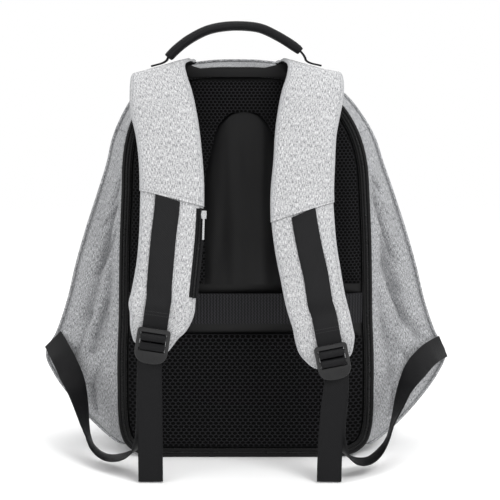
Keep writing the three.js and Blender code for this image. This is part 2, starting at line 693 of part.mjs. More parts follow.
// The strap's webbing comes out under the flap, runs down the strap, goes round the buckle's
// fixed bar and back up behind itself.
function makeStrapWebbing(side) {
  const { rows } = straps[side];
  const frame = buckleFrame(side);
  const end = flapEnds[side];
  const startRow = rowAt(rows, end.height);
  const startHeight = end.height
    + (end.tilt * (startRow.web - startRow.middle) * halfPanel - webStep) / bodyHeight;
  const stopHeight = bucklePlaces[side].height + (webLoopLift + webLoopTail / 2) / bodyHeight;
  const laidFrom = startHeight - webThickness / bodyHeight;
  const laid = rows.filter((row, i) =>
    i > foldRows && row.height < laidFrom && row.height > stopHeight);
  const underside = framed([rowAt(rows, startHeight), ...laid, rowAt(rows, stopHeight)]
    .map(strapStation));
  const upper = underside.map((f) => ({
    at: f.at.clone().addScaledVector(f.across, f.webOff).addScaledVector(f.normal,
      padTop(f) + firstWeb),
    across: f.across,
  }));
  const lower = [
    [-webLoopLift, firstWeb], [-webLoopStart, secondWeb],
    ...overTheBar(passOne, passTwo, secondWeb, firstWeb),
    [passTwo - webBend, firstWeb], [-webLoopTail, firstWeb],
  ].map(([v, n]) => ({ at: inFrame(frame, 0, v, n), across: frame.across }));
  const frames = framed([...upper, ...lower]);
  frames[0].across.addScaledVector(frames[0].along, -end.tilt);
  webbing(`strap_webbing_${side}`, frames);
}

// Each adjuster webbing runs from the wing's seam down towards the floor, forwards and up behind
// the buckle, over its middle bar and down again as a free end. onX and onY are shares of the way
// from the wing to the buckle, height a share of the wing end's height, and the last three columns
// give the webbing's cross direction.
const loopColumns = ["onX", "onY", "height", "acrossX", "acrossY", "acrossZ"];
const adjusterTables = {
  left: namedRows(loopColumns, [
    [0, 0, 1, -0.77, 0.08, -0.64],
    [0.109, 0.18, 0.9, -0.86, -0.08, -0.5],
    [0.198, 0.29, 0.776, -0.91, -0.18, -0.38],
    [0.266, 0.37, 0.648, -0.81, -0.58, 0.04],
    [0.313, 0.43, 0.515, -0.6, -0.76, 0.25],
    [0.357, 0.5, 0.358, -0.33, -0.85, 0.41],
    [0.413, 0.57, 0.216, -0.22, -0.79, 0.58],
    [0.51, 0.66, 0.134, -0.57, -0.72, 0.4],
    [0.637, 0.75, 0.124, -0.67, -0.75, -0.04],
    [0.775, 0.85, 0.181, -0.57, -0.78, -0.26],
    [0.891, 0.94, 0.288, -0.54, -0.83, -0.15],
    [0.966, 0.985, 0.448, -0.83, -0.51, 0.22],
  ]),
  right: namedRows(loopColumns, [
    [0, 0, 1, 0.49, 0, -0.87],
    [0.129, 0.17, 0.983, 0.61, -0.26, -0.75],
    [0.243, 0.29, 0.904, 0.77, -0.24, -0.6],
    [0.328, 0.37, 0.79, 0.77, -0.63, -0.08],
    [0.386, 0.42, 0.68, 0.57, -0.8, 0.19],
    [0.429, 0.47, 0.569, 0.42, -0.85, 0.32],
    [0.472, 0.52, 0.444, 0.27, -0.82, 0.51],
    [0.522, 0.6, 0.333, 0.19, -0.72, 0.67],
    [0.579, 0.68, 0.238, 0.35, -0.74, 0.58],
    [0.664, 0.76, 0.151, 0.56, -0.75, 0.36],
    [0.773, 0.84, 0.135, 0.64, -0.77, -0.07],
    [0.871, 0.91, 0.19, 0.47, -0.84, -0.27],
    [0.948, 0.96, 0.294, 0.46, -0.89, -0.08],
    [1.012, 0.99, 0.474, 0.82, -0.53, 0.23],
  ]),
};
const wingEnds = {
  left: { row: wingIndex + 0.75, turn: -1 },
  right: { row: wingIndex + 0.4, turn: 1 },
};
const tailEnds = { left: -0.7, right: 0.62 };

function makeAdjuster(side) {
  const { row, turn } = wingEnds[side];
  const frame = buckleFrame(side);
  const along = turn * row * rowSteps;
  const seam = loopStations((along + loopSize) % loopSize)[1];
  const start = seam.clone().add(vec(turn * webThickness, -4 * webThickness, 0));
  const end = inFrame(frame, 0, buckleLength + webStep, firstWeb);
  const loop = smoothRows(adjusterTables[side], strapSteps - 1).map((place) => ({
    at: vec(lerp(start.x, end.x, place.onX), lerp(start.y, end.y, place.onY),
      place.height * start.z),
    across: vec(place.acrossX, place.acrossY, place.acrossZ).normalize(),
  }));
  const ends = frame.across.clone().multiplyScalar(turn);
  const inBuckle = [
    [buckleLength + webStep, firstWeb],
    [passThree + webThickness, firstWeb],
    ...overTheBar(passThree, passFour, firstWeb, secondWeb),
    [passFour + webBend, secondWeb],
    [buckleLength + webStep, secondWeb],
  ].map(([v, n]) => ({ at: inFrame(frame, 0, v, n), across: ends }));
  const leave = inBuckle[inBuckle.length - 1].at;
  const tail = [0.75, 0.45, 0.2, 0].map((share, i) => ({
    at: vec(lerp(tailEnds[side] * halfPanel, leave.x, share * share),
      leave.y - webStep * Math.sin(((i + 1) / 4) * (Math.PI / 2)),
      lerp(webThickness, leave.z, share)),
    across: vec(turn, 0, 0),
  }));
  webbing(`adjuster_webbing_${side}`, framed([...loop, ...inBuckle, ...tail]));
}

for (const side of ["left", "right"]) {
  makeStrapWebbing(side);
  makeBuckle(side);
  makeAdjuster(side);
}

// The zip of the hidden pocket along the inner edge of the left strap.
const zipTop = 0.664;
const zipFoot = 0.464;
function makeStrapZip() {
  const { rows } = straps.left;
  const kept = rows.filter((row, i) => i > foldRows && row.height < zipTop && row.height > zipFoot);
  const frames = framed([rowAt(rows, zipTop), ...kept, rowAt(rows, zipFoot)].map(strapStation));
  const low = (frame) => padTop(frame) + seamGap;
  const high = (frame) => low(frame) + zipTapeThickness;
  addPiece("strap_zip_tape", layer(frames, low, high,
    (frame) => frame.half + zipOverhang - zipTapeWidth, (frame) => frame.half + zipOverhang),
    "blackWebbing");

  const sliderFrom = zipTop - (zipTapeWidth / 4) / bodyHeight;
  const sliderTo = sliderFrom - sliderLength / bodyHeight;
  const onTape = framed([sliderFrom, sliderTo].map((height) => strapStation(rowAt(rows, height))));
  const middle = (frame) => frame.half + zipOverhang - sliderInset;
  const seat = (frame) => high(frame) + seamGap;
  addPiece("strap_zip_slider", layer(onTape, seat, (frame) => seat(frame) + sliderThickness,
    (frame) => middle(frame) - sliderWidth / 2, (frame) => middle(frame) + sliderWidth / 2,
    padRounding), "nickel");

  const shape = new THREE.Shape();
  const spread = Math.asin(pullWidth / 2 / pullRing);
  shape.absarc(0, 0, pullRing, -Math.PI / 2 + spread, 1.5 * Math.PI - spread, false);
  shape.lineTo(-pullWidth / 2, -pullLength);
  shape.lineTo(pullWidth / 2, -pullLength);
  const hole = new THREE.Path();
  hole.absarc(0, 0, pullRing - pullThickness, 0, 2 * Math.PI, true);
  shape.holes.push(hole);
  const geometry = new THREE.ExtrudeGeometry(shape,
    { depth: pullThickness, bevelEnabled: false, curveSegments: roundSteps * 2 });
  const held = onTape[1];
  const front = seat(held) + sliderThickness + seamGap;
  const matrix = new THREE.Matrix4();
  matrix.makeBasis(held.across, held.along.clone().negate(), held.normal);
  matrix.setPosition(held.at.clone().addScaledVector(held.across, middle(held))
    .addScaledVector(held.along, -sliderLength / 2).addScaledVector(held.normal, front));
  addPiece("strap_zip_pull", geometry.applyMatrix4(matrix), "nickel");
}
makeStrapZip();

// The carry handle's webbing lies on both strap roots and arches between them, through a padded
// grip. along is a share of the handle's span from its middle, and up of its rise.
const handleArch = namedRows(["along", "up"], [
  [-0.5, 0.04], [-0.492, 0.1], [-0.476, 0.17], [-0.441, 0.31], [-0.384, 0.5], [-0.327, 0.655],
  [-0.214, 0.88], [-0.1, 0.985], [0.036, 1.01], [0.171, 0.945], [0.285, 0.745], [0.398, 0.475],
  [0.46, 0.29], [0.482, 0.19], [0.495, 0.1], [0.5, 0.04],
]);
const gripFrom = -0.492;
const gripTo = 0.465;

// A place across the bag just above the flap on a strap's root, clear of it over the whole depth
// of the handle's webbing.
function onRoot(side, x, depth) {
  const near = straps[side].flapFrames.slice(0, foldRows).filter((frame) =>
    Math.abs(frame.at.y - depth) < handleWebDepth * rootReachShare);
  const heights = near.map((frame) => {
    const top = padTop(frame) + flapGap + flapThickness;
    const place = frame.at.clone().addScaledVector(frame.normal, top);
    return place.z + (x - place.x) * (frame.across.z / frame.across.x);
  });
  return vec(x, depth, Math.max(...heights) + handleClearance + handleWebThickness / 2);
}
function makeHandle() {
  const roots = ["left", "right"].map((side) => straps[side].flapFrames[2 * strapSteps].at);
  const middle = (roots[0].x + roots[1].x) / 2;
  const depth = roots[0].y;
  const [from, to] = [middle - handleSpan / 2, middle + handleSpan / 2];
  const foot = Math.max(onRoot("left", from, depth).z, onRoot("right", to, depth).z);
  const arch = handleArch.map((place) => ({
    share: place.along,
    at: vec(middle + place.along * handleSpan, depth, foot + place.up * handleRise),
  }));
  const path = [
    { at: onRoot("left", from - handleTab, depth) },
    { at: onRoot("left", from - 2 * handleWebThickness, depth) },
    ...arch,
    { at: onRoot("right", to + 2 * handleWebThickness, depth) },
    { at: onRoot("right", to + handleTab, depth) },
  ];
  const frames = framed(path.map((station) => ({ ...station, across: vec(0, 1, 0) })));
  webbing("handle_webbing", frames, handleWebDepth, handleWebThickness);

  const held = frames.filter((f) => f.share >= gripFrom && f.share <= gripTo);
  const around = (halfDepth, halfHeight, squareness) => {
    const columns = [];
    for (let i = 0; i < 2 * roundSteps; i++) {
      const angle = ((i + 0.5) / roundSteps) * Math.PI;
      const [c, d] = [Math.cos(angle), Math.sin(angle)];
      const side = halfDepth * Math.sign(c) * Math.abs(c) ** squareness;
      const up = halfHeight * Math.sign(d) * Math.abs(d) ** squareness;
      columns.push(held.map((f) =>
        f.at.clone().addScaledVector(f.across, side).addScaledVector(f.normal, up)));
    }
    return columns;
  };
  const slotDepth = handleWebDepth / 2 + gripClearance;
  const slotHeight = handleWebThickness / 2 + gripClearance;
  addPiece("handle_grip", wall(around(gripDepth / 2, gripThickness / 2, gripSquareness),
    around(slotDepth, slotHeight, slotSquareness), true, false), "blackCloth");
}
makeHandle();

export default bag;
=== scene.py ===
# An anti theft backpack that stands on its base, harness side towards -Y, dressed over its solids.
# Shapes are worked out in millimetres in the back panel's own plane, where y is 0 at the panel and
# grows into the bag, and place() turns them into metres in the model's frame.
import bpy
import bmesh
import math
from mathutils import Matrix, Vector, noise


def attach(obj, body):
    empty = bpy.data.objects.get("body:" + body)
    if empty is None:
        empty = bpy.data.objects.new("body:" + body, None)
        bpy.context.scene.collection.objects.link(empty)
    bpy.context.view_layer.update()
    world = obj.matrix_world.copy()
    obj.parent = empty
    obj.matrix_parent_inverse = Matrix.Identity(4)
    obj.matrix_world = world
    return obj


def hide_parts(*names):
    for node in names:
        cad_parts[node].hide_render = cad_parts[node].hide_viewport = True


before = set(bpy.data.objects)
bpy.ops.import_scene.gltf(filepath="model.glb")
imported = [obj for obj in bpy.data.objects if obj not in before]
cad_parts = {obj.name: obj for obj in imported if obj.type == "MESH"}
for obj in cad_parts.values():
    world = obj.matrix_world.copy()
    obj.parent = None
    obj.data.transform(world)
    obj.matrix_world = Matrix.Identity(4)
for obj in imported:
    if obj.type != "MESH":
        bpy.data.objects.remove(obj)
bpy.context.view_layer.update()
print("frame loaded")

# Sizes that several pieces share. The middle is a share of the bag's depth and of its height.
bag = {
    "height": 450.0, "depth": 150.0, "halfPanel": 148.0, "flare": 92.0, "lean": 10.0,
    "middle": 0.47, "wall": 2.2, "gap": 0.3, "foldDepth": 5.0,
}
backPlane = -bag["middle"] * bag["depth"]
hub = Vector((0, 0, bag["middle"] * bag["height"]))


# Small tools for points and curves

def place(point):
    return Vector((point[0], point[1] + backPlane, point[2])) / 1000


def mix(a, b, share):
    return a + (b - a) * share


# A circle pulled towards a square: its cosine or sine with a share of its sign kept.
def squared(value, power):
    return math.copysign(abs(value) ** power, value)


def namedRows(columns, rows):
    return [dict(zip(columns.split(), row)) for row in rows]


def smoothRows(rows, steps):
    found = []
    for i in range(len(rows) - 1):
        a, b, c, d = (rows[min(max(i + k, 0), len(rows) - 1)] for k in (-1, 0, 1, 2))
        for s in range(steps):
            t = s / steps
            found.append({
                key: b[key] + 0.5 * ((c[key] - a[key]) * t
                    + (3 * b[key] - a[key] - 3 * c[key] + d[key]) * t ** 3
                    + (2 * a[key] - 5 * b[key] + 4 * c[key] - d[key]) * t * t)
                for key in b
            })
    return found + [rows[-1]]


# A point on the centripetal curve through points, which doesn't overshoot in short spans.
def curvePoint(points, share, closed=False):
    shortest = 1e-4
    count = len(points)
    whole = (count if closed else count - 1) * share
    i = math.floor(whole)
    t = whole - i
    if not closed and i >= count - 1:
        i, t = count - 2, 1.0
    before = points[(i - 1) % count] if closed or i > 0 else 2 * points[0] - points[1]
    a, b = points[i % count], points[(i + 1) % count]
    after = points[(i + 2) % count] if closed or i + 2 < count else 2 * points[-1] - points[-2]
    spans = [(q - p).length_squared ** 0.25 for p, q in ((before, a), (a, b), (b, after))]
    mid = spans[1] if spans[1] > shortest else 1.0
    first = spans[0] if spans[0] > shortest else mid
    last = spans[2] if spans[2] > shortest else mid
    leave = ((a - before) / first - (b - before) / (first + mid) + (b - a) / mid) * mid
    arrive = ((b - a) / mid - (after - a) / (mid + last) + (after - b) / last) * mid
    bend = -3 * a + 3 * b - 2 * leave - arrive
    turn = 2 * a - 2 * b + leave + arrive
    return a + leave * t + bend * t * t + turn * t ** 3


# Stations of a strip with its direction, its cross direction and its outward normal.
def framed(stations):
    found = []
    for i, station in enumerate(stations):
        before = stations[max(i - 1, 0)]["at"]
        after = stations[min(i + 1, len(stations) - 1)]["at"]
        along = (after - before).normalized()
        across = station["across"] - along * station["across"].dot(along)
        across.normalize()
        found.append({**station, "along": along, "across": across,
                      "normal": along.cross(across).normalized()})
    return found


# More stations on a smooth curve through the given ones.
def refined(stations, steps):
    points = [station["at"] for station in stations]
    count = (len(points) - 1) * steps
    found = []
    for k in range(count + 1):
        i = min(k // steps, len(points) - 2)
        across = mix(stations[i]["across"], stations[i + 1]["across"], k / steps - i)
        found.append({"at": curvePoint(points, k / count), "across": across})
    return found


def onFrame(station, side, up):
    return station["at"] + station["across"] * side + station["normal"] * up


# Small tools for meshes

def linked(name, data):
    made = bpy.data.objects.new(name, data)
    bpy.context.scene.collection.objects.link(made)
    return made


# The mesh that an object has after its modifiers.
def evaluatedMesh(source):
    graph = bpy.context.evaluated_depsgraph_get()
    return bpy.data.meshes.new_from_object(source.evaluated_get(graph))


def faceOutwards(solid):
    if solid.calc_volume(signed=True) < 0:
        bmesh.ops.reverse_faces(solid, faces=solid.faces)


def finishMesh(solid, mesh, sharpFrom):
    limit = math.radians(sharpFrom)
    for face in solid.faces:
        face.smooth = True
    for edge in solid.edges:
        if len(edge.link_faces) == 2 and edge.calc_face_angle(0) > limit:
            edge.smooth = False
    solid.to_mesh(mesh)
    solid.free()


def addPiece(name, mesh, material, stands=()):
    piece = linked(name, mesh)
    mesh.materials.clear()
    mesh.materials.append(material)
    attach(piece, "root")
    if stands:
        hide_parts(*stands)
    return piece


# Makes a piece of the bag from points in the panel's plane. Faces turn outwards, sharp corners
# stay sharp, and the weave's own map holds real lengths in metres.
def makePiece(name, points, faces, material, stands=(), slot=None, maps=None, wear=None,
              sharpFrom=50):
    mesh = bpy.data.meshes.new(name)
    mesh.from_pydata([place(p) for p in points], [], faces)
    if maps:
        layer = mesh.uv_layers.new(name="weave")
        for loop, (u, v) in zip(layer.data, (corner for face in maps for corner in face)):
            loop.uv = (u / 1000, v / 1000)
    # A share of the edge colour for each point: along the piece's edges, and as painted shade in
    # the body's folds.
    tintAndShadeShare = mesh.attributes.new("wear", "FLOAT", "POINT")
    for i, value in enumerate(wear or []):
        tintAndShadeShare.data[i].value = value
    solid = bmesh.new()
    solid.from_mesh(mesh)
    bmesh.ops.delete(solid, geom=[v for v in solid.verts if not v.link_faces], context="VERTS")
    faceOutwards(solid)
    finishMesh(solid, mesh, sharpFrom)
    return addPiece(name, mesh, material, stands)


# Faces and maps of rings that are skinned one after the other, with flat ends or closed on itself.
def skinned(rings, closed=False):
    size = len(rings[0])
    faces, maps = [], []
    travelled = 0.0
    for k in range(len(rings) if closed else len(rings) - 1):
        here, there = rings[k], rings[(k + 1) % len(rings)]
        step = sum((q - p).length for p, q in zip(here, there)) / size
        low, high = k * size, ((k + 1) % len(rings)) * size
        around = 0.0
        for i in range(size):
            j = (i + 1) % size
            width = (here[j] - here[i]).length
            faces.append([low + i, low + j, high + j, high + i])
            maps.append([(around, travelled), (around + width, travelled),
                         (around + width, travelled + step), (around, travelled + step)])
            around += width
        travelled += step
    if not closed:
        last = (len(rings) - 1) * size
        for ring in (list(reversed(range(size))), [last + i for i in range(size)]):
            faces.append(ring)
            maps.append([(i, travelled) for i in range(size)])
    return [p for ring in rings for p in ring], faces, maps


# A flat section with rounded corners, and with parts along its long faces.
def flatSection(half, low, high, corner, parts=6, steps=3):
    section = []
    for q, (sx, sy) in enumerate([(1, 1), (-1, 1), (-1, -1), (1, -1)]):
        cx = sx * (half - corner)
        cy = high - corner if sy > 0 else low + corner
        for s in range(steps + 1):
            angle = (q + s / steps) * math.pi / 2
            section.append((cx + corner * math.cos(angle), cy + corner * math.sin(angle)))
        if q in (0, 2):
            x, y = section[-1]
            section += [(mix(x, -x, k / parts), y) for k in range(1, parts)]
    return section


def sweep(name, stations, sectionOf, material, **how):
    rings = [[onFrame(s, side, up) for side, up in sectionOf(s)] for s in stations]
    points, faces, maps = skinned(rings)
    return makePiece(name, points, faces, material, maps=maps, **how)


# Small tools for node trees

# Sets a node's inputs as values or links.
def feed(tree, node, inputs):
    for key, value in inputs.items():
        if isinstance(value, bpy.types.Node):
            value = value.outputs[0]
        if isinstance(value, bpy.types.NodeSocket):
            tree.links.new(value, node.inputs[key])
        else:
            node.inputs[key].default_value = value


def addNode(tree, kind, settings=None, inputs=None):
    node = tree.nodes.new(kind)
    for name, value in (settings or {}).items():
        setattr(node, name, value)
    feed(tree, node, inputs or {})
    return node


# Geometry Nodes tree that sets small rounded bodies along lines, for stitches and zip teeth.
def rowTree():
    tree = bpy.data.node_groups.new("bodiesAlongLines", "GeometryNodeTree")
    sockets = {"Geometry": "Geometry", "Spacing": "Float", "Length": "Float", "Width": "Float",
               "Height": "Float", "Facing": "Vector", "Material": "Material"}
    for name, kind in sockets.items():
        tree.interface.new_socket(name, in_out="INPUT", socket_type="NodeSocket" + kind)
    tree.interface.new_socket("Geometry", in_out="OUTPUT", socket_type="NodeSocketGeometry")
    given = addNode(tree, "NodeGroupInput").outputs
    lines = addNode(tree, "GeometryNodeMeshToCurve", None, {"Mesh": given["Geometry"]})
    spaced = addNode(tree, "GeometryNodeResampleCurve", {"mode": "LENGTH"},
                     {"Curve": lines, "Length": given["Spacing"]})
    body = addNode(tree, "GeometryNodeMeshIcoSphere", None, {"Radius": 0.5, "Subdivisions": 1})
    tangent = addNode(tree, "GeometryNodeInputTangent")
    aimed = addNode(tree, "FunctionNodeAlignRotationToVector", {"axis": "Z"},
                    {"Vector": tangent})
    rolled = addNode(tree, "FunctionNodeAlignRotationToVector",
                     {"axis": "Y", "pivot_axis": "Z"},
                     {"Rotation": aimed, "Vector": given["Facing"]})
    scale = addNode(tree, "ShaderNodeCombineXYZ", None, {
        "X": given["Width"], "Y": given["Height"], "Z": given["Length"]})
    placed = addNode(tree, "GeometryNodeInstanceOnPoints", None,
                     {"Points": spaced, "Instance": body, "Rotation": rolled, "Scale": scale})
    real = addNode(tree, "GeometryNodeRealizeInstances", None, {"Geometry": placed})
    smooth = addNode(tree, "GeometryNodeSetShadeSmooth", None, {"Geometry": real})
    dressed = addNode(tree, "GeometryNodeSetMaterial", None,
                      {"Geometry": smooth, "Material": given["Material"]})
    addNode(tree, "NodeGroupOutput", None, {"Geometry": dressed})
    return tree


rows = rowTree()


# Rows of small bodies along lines of points, turned into one plain mesh. A line is a pair of its
# points and whether it closes on itself.
def bodiesAlong(name, lines, look, material, facing=(0, -1, 0), stands=()):
    points, edges = [], []
    for line, closed in lines:
        first = len(points)
        points += [place(p) for p in line]
        edges += [(first + i, first + i + 1) for i in range(len(line) - 1)]
        if closed:
            edges.append((len(points) - 1, first))
    mesh = bpy.data.meshes.new(name + "Lines")
    mesh.from_pydata(points, edges, [])
    guide = linked(name + "Lines", mesh)
    modifier = guide.modifiers.new("rows", "NODES")
    modifier.node_group = rows
    values = {key.title(): size / 1000 for key, size in look.items()}
    values.update({"Facing": facing, "Material": material})
    for item in rows.interface.items_tree:
        if item.in_out == "INPUT" and item.name in values:
            modifier[item.identifier] = values[item.name]
    guide.update_tag()
    bpy.context.view_layer.update()
    made = evaluatedMesh(guide)
    made.name = name
    bpy.data.objects.remove(guide)
    bpy.data.meshes.remove(mesh)
    return addPiece(name, made, material, stands)


# Materials

def colour(text):
    parts = [int(text[i:i + 2], 16) / 255 for i in (1, 3, 5)]
    return (*[c / 12.92 if c <= 0.04045 else ((c + 0.055) / 1.055) ** 2.4 for c in parts], 1.0)


def startMaterial(name, sockets):
    material = bpy.data.materials.new(name)
    material.use_nodes = True
    tree = material.node_tree
    tree.nodes.clear()
    shader = addNode(tree, "ShaderNodeBsdfPrincipled", None, sockets)
    addNode(tree, "ShaderNodeOutputMaterial", None, {"Surface": shader})
    return material, tree, shader


def weaveMap(tree):
    return addNode(tree, "ShaderNodeUVMap", {"uv_map": "weave"})


def objectMap(tree):
    return addNode(tree, "ShaderNodeTexCoord").outputs["Object"]


def worked(tree, operation, *values):
    return addNode(tree, "ShaderNodeMath", {"operation": operation}, dict(enumerate(values)))


def noiseOn(tree, where, scale, detail, roughness=0.5):
    return addNode(tree, "ShaderNodeTexNoise", None, {
        "Vector": where, "Scale": scale, "Detail": detail, "Roughness": roughness})


def stretched(tree, where, scale):
    return addNode(tree, "ShaderNodeMapping", None, {"Vector": where, "Scale": scale})


def ranged(tree, value, start=(0.0, 1.0), end=(0.0, 1.0), settings=None):
    return addNode(tree, "ShaderNodeMapRange", settings, {
        "Value": value, "From Min": start[0], "From Max": start[1],
        "To Min": end[0], "To Max": end[1]})


def blended(tree, share, first, second):
    return addNode(tree, "ShaderNodeMix", {"data_type": "RGBA"},
                   {0: share, 6: first, 7: second}).outputs[2]


def bumped(tree, height, strength, distance):
    return addNode(tree, "ShaderNodeBump", None,
                   {"Strength": strength, "Distance": distance, "Height": height})


# Heathered polyester canvas, dyed threads of several greys woven plain: the eye gets short
# streaks along the warp over an even, matt ground. The flecks, 0.5 mm wide in the real cloth, are
# drawn 0.7 mm wide and the weave, 0.4 mm, is drawn at 1.1 mm, so that the picture can show them.
def melangeCloth(name, look):
    material, tree, shader = startMaterial(name, {
        "Roughness": 0.9, "Sheen Weight": 0.05, "Sheen Roughness": 0.5,
        "Specular IOR Level": 0.15})
    where = weaveMap(tree)
    warpFlecks, weftFlecks = (
        noiseOn(tree, stretched(tree, where, (1 / width, 1 / length, 1)), 1.0, detail, 0.6)
        for width, length, detail in ((0.0007, 0.004, 1.5), (0.0025, 0.0007, 1.0)))
    both = worked(tree, "MULTIPLY_ADD", weftFlecks, 0.5, warpFlecks)
    threads = blended(tree, ranged(tree, both, (0.55, 0.95)), colour(look["dark"]),
                      colour(look["light"]))
    patch = ranged(tree, noiseOn(tree, where, 14.0, 3.0, 0.55), (0.3, 0.7), (0.93, 1.05))
    uneven = addNode(tree, "ShaderNodeVectorMath", {"operation": "SCALE"},
                     {0: threads, "Scale": patch})
    # The edge colour is mixed in along a piece's edges and, on the body, as painted shade in its
    # folds.
    tintAndShadeShare = addNode(tree, "ShaderNodeAttribute", {"attribute_name": "wear"}).outputs["Fac"]
    tintedAndShaded = blended(tree, worked(tree, "MULTIPLY", tintAndShadeShare, 0.6), uneven, colour(look["edge"]))
    grid = stretched(tree, where, (2 * math.pi / 0.0011,) * 2 + (1,))
    axes = addNode(tree, "ShaderNodeSeparateXYZ", None, {"Vector": grid})
    weave = worked(tree, "MULTIPLY", *(worked(tree, "SINE", axes.outputs[way]) for way in "XY"))
    relief = worked(tree, "MULTIPLY_ADD", weave, 0.35, both)
    feed(tree, shader, {"Base Color": tintedAndShaded, "Normal": bumped(tree, relief, 0.45, 0.0004)})
    return material


# Polyester spacer mesh, knitted in one piece: staggered rows of dark six-sided holes, wider than
# they are high, between matt threads. The eye gets fine dots on the upper pad, wider open ones on
# the lower. The knit of the threads, 0.3 mm in the real mesh, is drawn as a fuzz of 0.8 mm.
def spacerMesh(name, look):
    material, tree, shader = startMaterial(name, {
        "Roughness": 0.85, "Specular IOR Level": 0.07})
    where = weaveMap(tree)
    across, along = 2 * math.pi / look["across"], 2 * math.pi / look["along"]
    waves = []
    for way in ((across, along / 2, 0), (across, -along / 2, 0), (0, along, 0)):
        reach = addNode(tree, "ShaderNodeVectorMath", {"operation": "DOT_PRODUCT"},
                        {0: where, 1: way})
        waves.append(worked(tree, "COSINE", reach.outputs["Value"]))
    total = worked(tree, "ADD", worked(tree, "ADD", waves[0], waves[1]), waves[2])
    thread = ranged(tree, total, (0.0, -1.2), settings={"interpolation_type": "SMOOTHSTEP"})
    fuzz = noiseOn(tree, where, 900.0, 3.0)
    varied = blended(tree, fuzz, colour(look["thread"]), colour(look["bright"]))
    holes = blended(tree, thread, colour("#010101"), varied)
    relief = worked(tree, "MULTIPLY_ADD", fuzz, 0.3, thread)
    feed(tree, shader, {"Base Color": holes, "Normal": bumped(tree, relief, 0.7, 0.001)})
    return material


# Polyamide webbing woven in a twill: rows of slanting ribs, with a soft sheen on the raised
# threads. Ribs are drawn 1.6 mm apart, 1.1 mm in the real. In the narrow columns of the elastic
# they change direction, as in herringbone.
def twillWebbing(name, look):
    material, tree, shader = startMaterial(name, {
        "Roughness": 0.46, "Specular IOR Level": 0.13})
    where = weaveMap(tree)
    axes = addNode(tree, "ShaderNodeSeparateXYZ", None, {"Vector": where}).outputs
    folded = worked(tree, "PINGPONG", axes["X"], look["column"])
    slope = worked(tree, "MULTIPLY_ADD", folded, 0.8, axes["Y"])
    ribs = worked(tree, "SINE", worked(tree, "MULTIPLY", slope, 2 * math.pi / look["rib"]))
    valley = worked(tree, "SINE", worked(tree, "MULTIPLY", folded, math.pi / look["column"]))
    fuzz = noiseOn(tree, where, 700.0, 4.0, 0.7)
    height = worked(tree, "MULTIPLY_ADD", valley, 0.12, ribs)
    rough = worked(tree, "MULTIPLY_ADD", fuzz, 0.8, height)
    threads = blended(tree, ranged(tree, rough, (-0.6, 1.9)), colour(look["dark"]),
                      colour(look["light"]))
    feed(tree, shader, {"Base Color": threads, "Normal": bumped(tree, rough, 0.5, 0.0003)})
    return material


# Smooth filament polyester in black, woven dense and calendered: it throws soft broad highlights
# along its folds. Twill lines are drawn 1.2 mm apart, 0.3 mm in the real.
def satinCloth(name, look):
    material, tree, shader = startMaterial(name, {"Specular IOR Level": 0.2})
    where = weaveMap(tree)
    twill = addNode(tree, "ShaderNodeTexWave", {"bands_direction": "DIAGONAL"}, {
        "Vector": where, "Scale": 260.0, "Distortion": 0.6, "Detail": 1.0}).outputs[1]
    gloss = ranged(tree, noiseOn(tree, where, 30.0, 3.0), end=look["gloss"])
    threads = blended(tree, twill, colour(look["dark"]), colour(look["light"]))
    feed(tree, shader, {"Base Color": threads, "Roughness": gloss,
                        "Normal": bumped(tree, twill, 0.25, 0.0003)})
    return material


# Acetal, injection moulded in a lightly eroded tool: an even dark satin with a fine grain, its
# roughness and tone varying in soft clouds.
def mouldedAcetal(name, look):
    material, tree, shader = startMaterial(name, {"IOR": 1.48, "Specular IOR Level": 0.4})
    where = objectMap(tree)
    grain = noiseOn(tree, where, 1800.0, 2.0)
    cloud = noiseOn(tree, where, 90.0, 3.0)
    shade = blended(tree, cloud, colour(look["dark"]), colour(look["light"]))
    feed(tree, shader, {"Base Color": shade, "Roughness": ranged(tree, cloud, end=(0.2, 0.38)),
                        "Normal": bumped(tree, grain, 0.2, 0.0002)})
    return material


# Zinc alloy, die cast and nickel plated: a bright warm grey mirror, dulled by fine handling marks.
def nickelPlate(name, look):
    material, tree, shader = startMaterial(name, {"Metallic": 1.0})
    marks = noiseOn(tree, objectMap(tree), 700.0, 5.0, 0.7)
    shade = blended(tree, marks, colour(look["dark"]), colour(look["light"]))
    feed(tree, shader, {"Base Color": shade, "Roughness": ranged(tree, marks, end=(0.16, 0.38)),
                        "Normal": bumped(tree, marks, 0.08, 0.0001)})
    return material


# Spun polyester thread: matt, with its two twisted strands as fine slanting lines.
def spunThread(name, look):
    material, tree, shader = startMaterial(name, {"Roughness": 0.7, "Sheen Weight": 0.2})
    strands = addNode(tree, "ShaderNodeTexWave", {"bands_direction": "DIAGONAL"},
                      {"Vector": objectMap(tree), "Scale": 500.0}).outputs[1]
    shade = blended(tree, strands, colour(look["dark"]), colour(look["light"]))
    feed(tree, shader, {"Base Color": shade})
    return material


strapCloth = melangeCloth("heatheredPolyester", {
    "dark": "#6c6d6f", "light": "#cfcfd0", "edge": "#9c9d9f"})
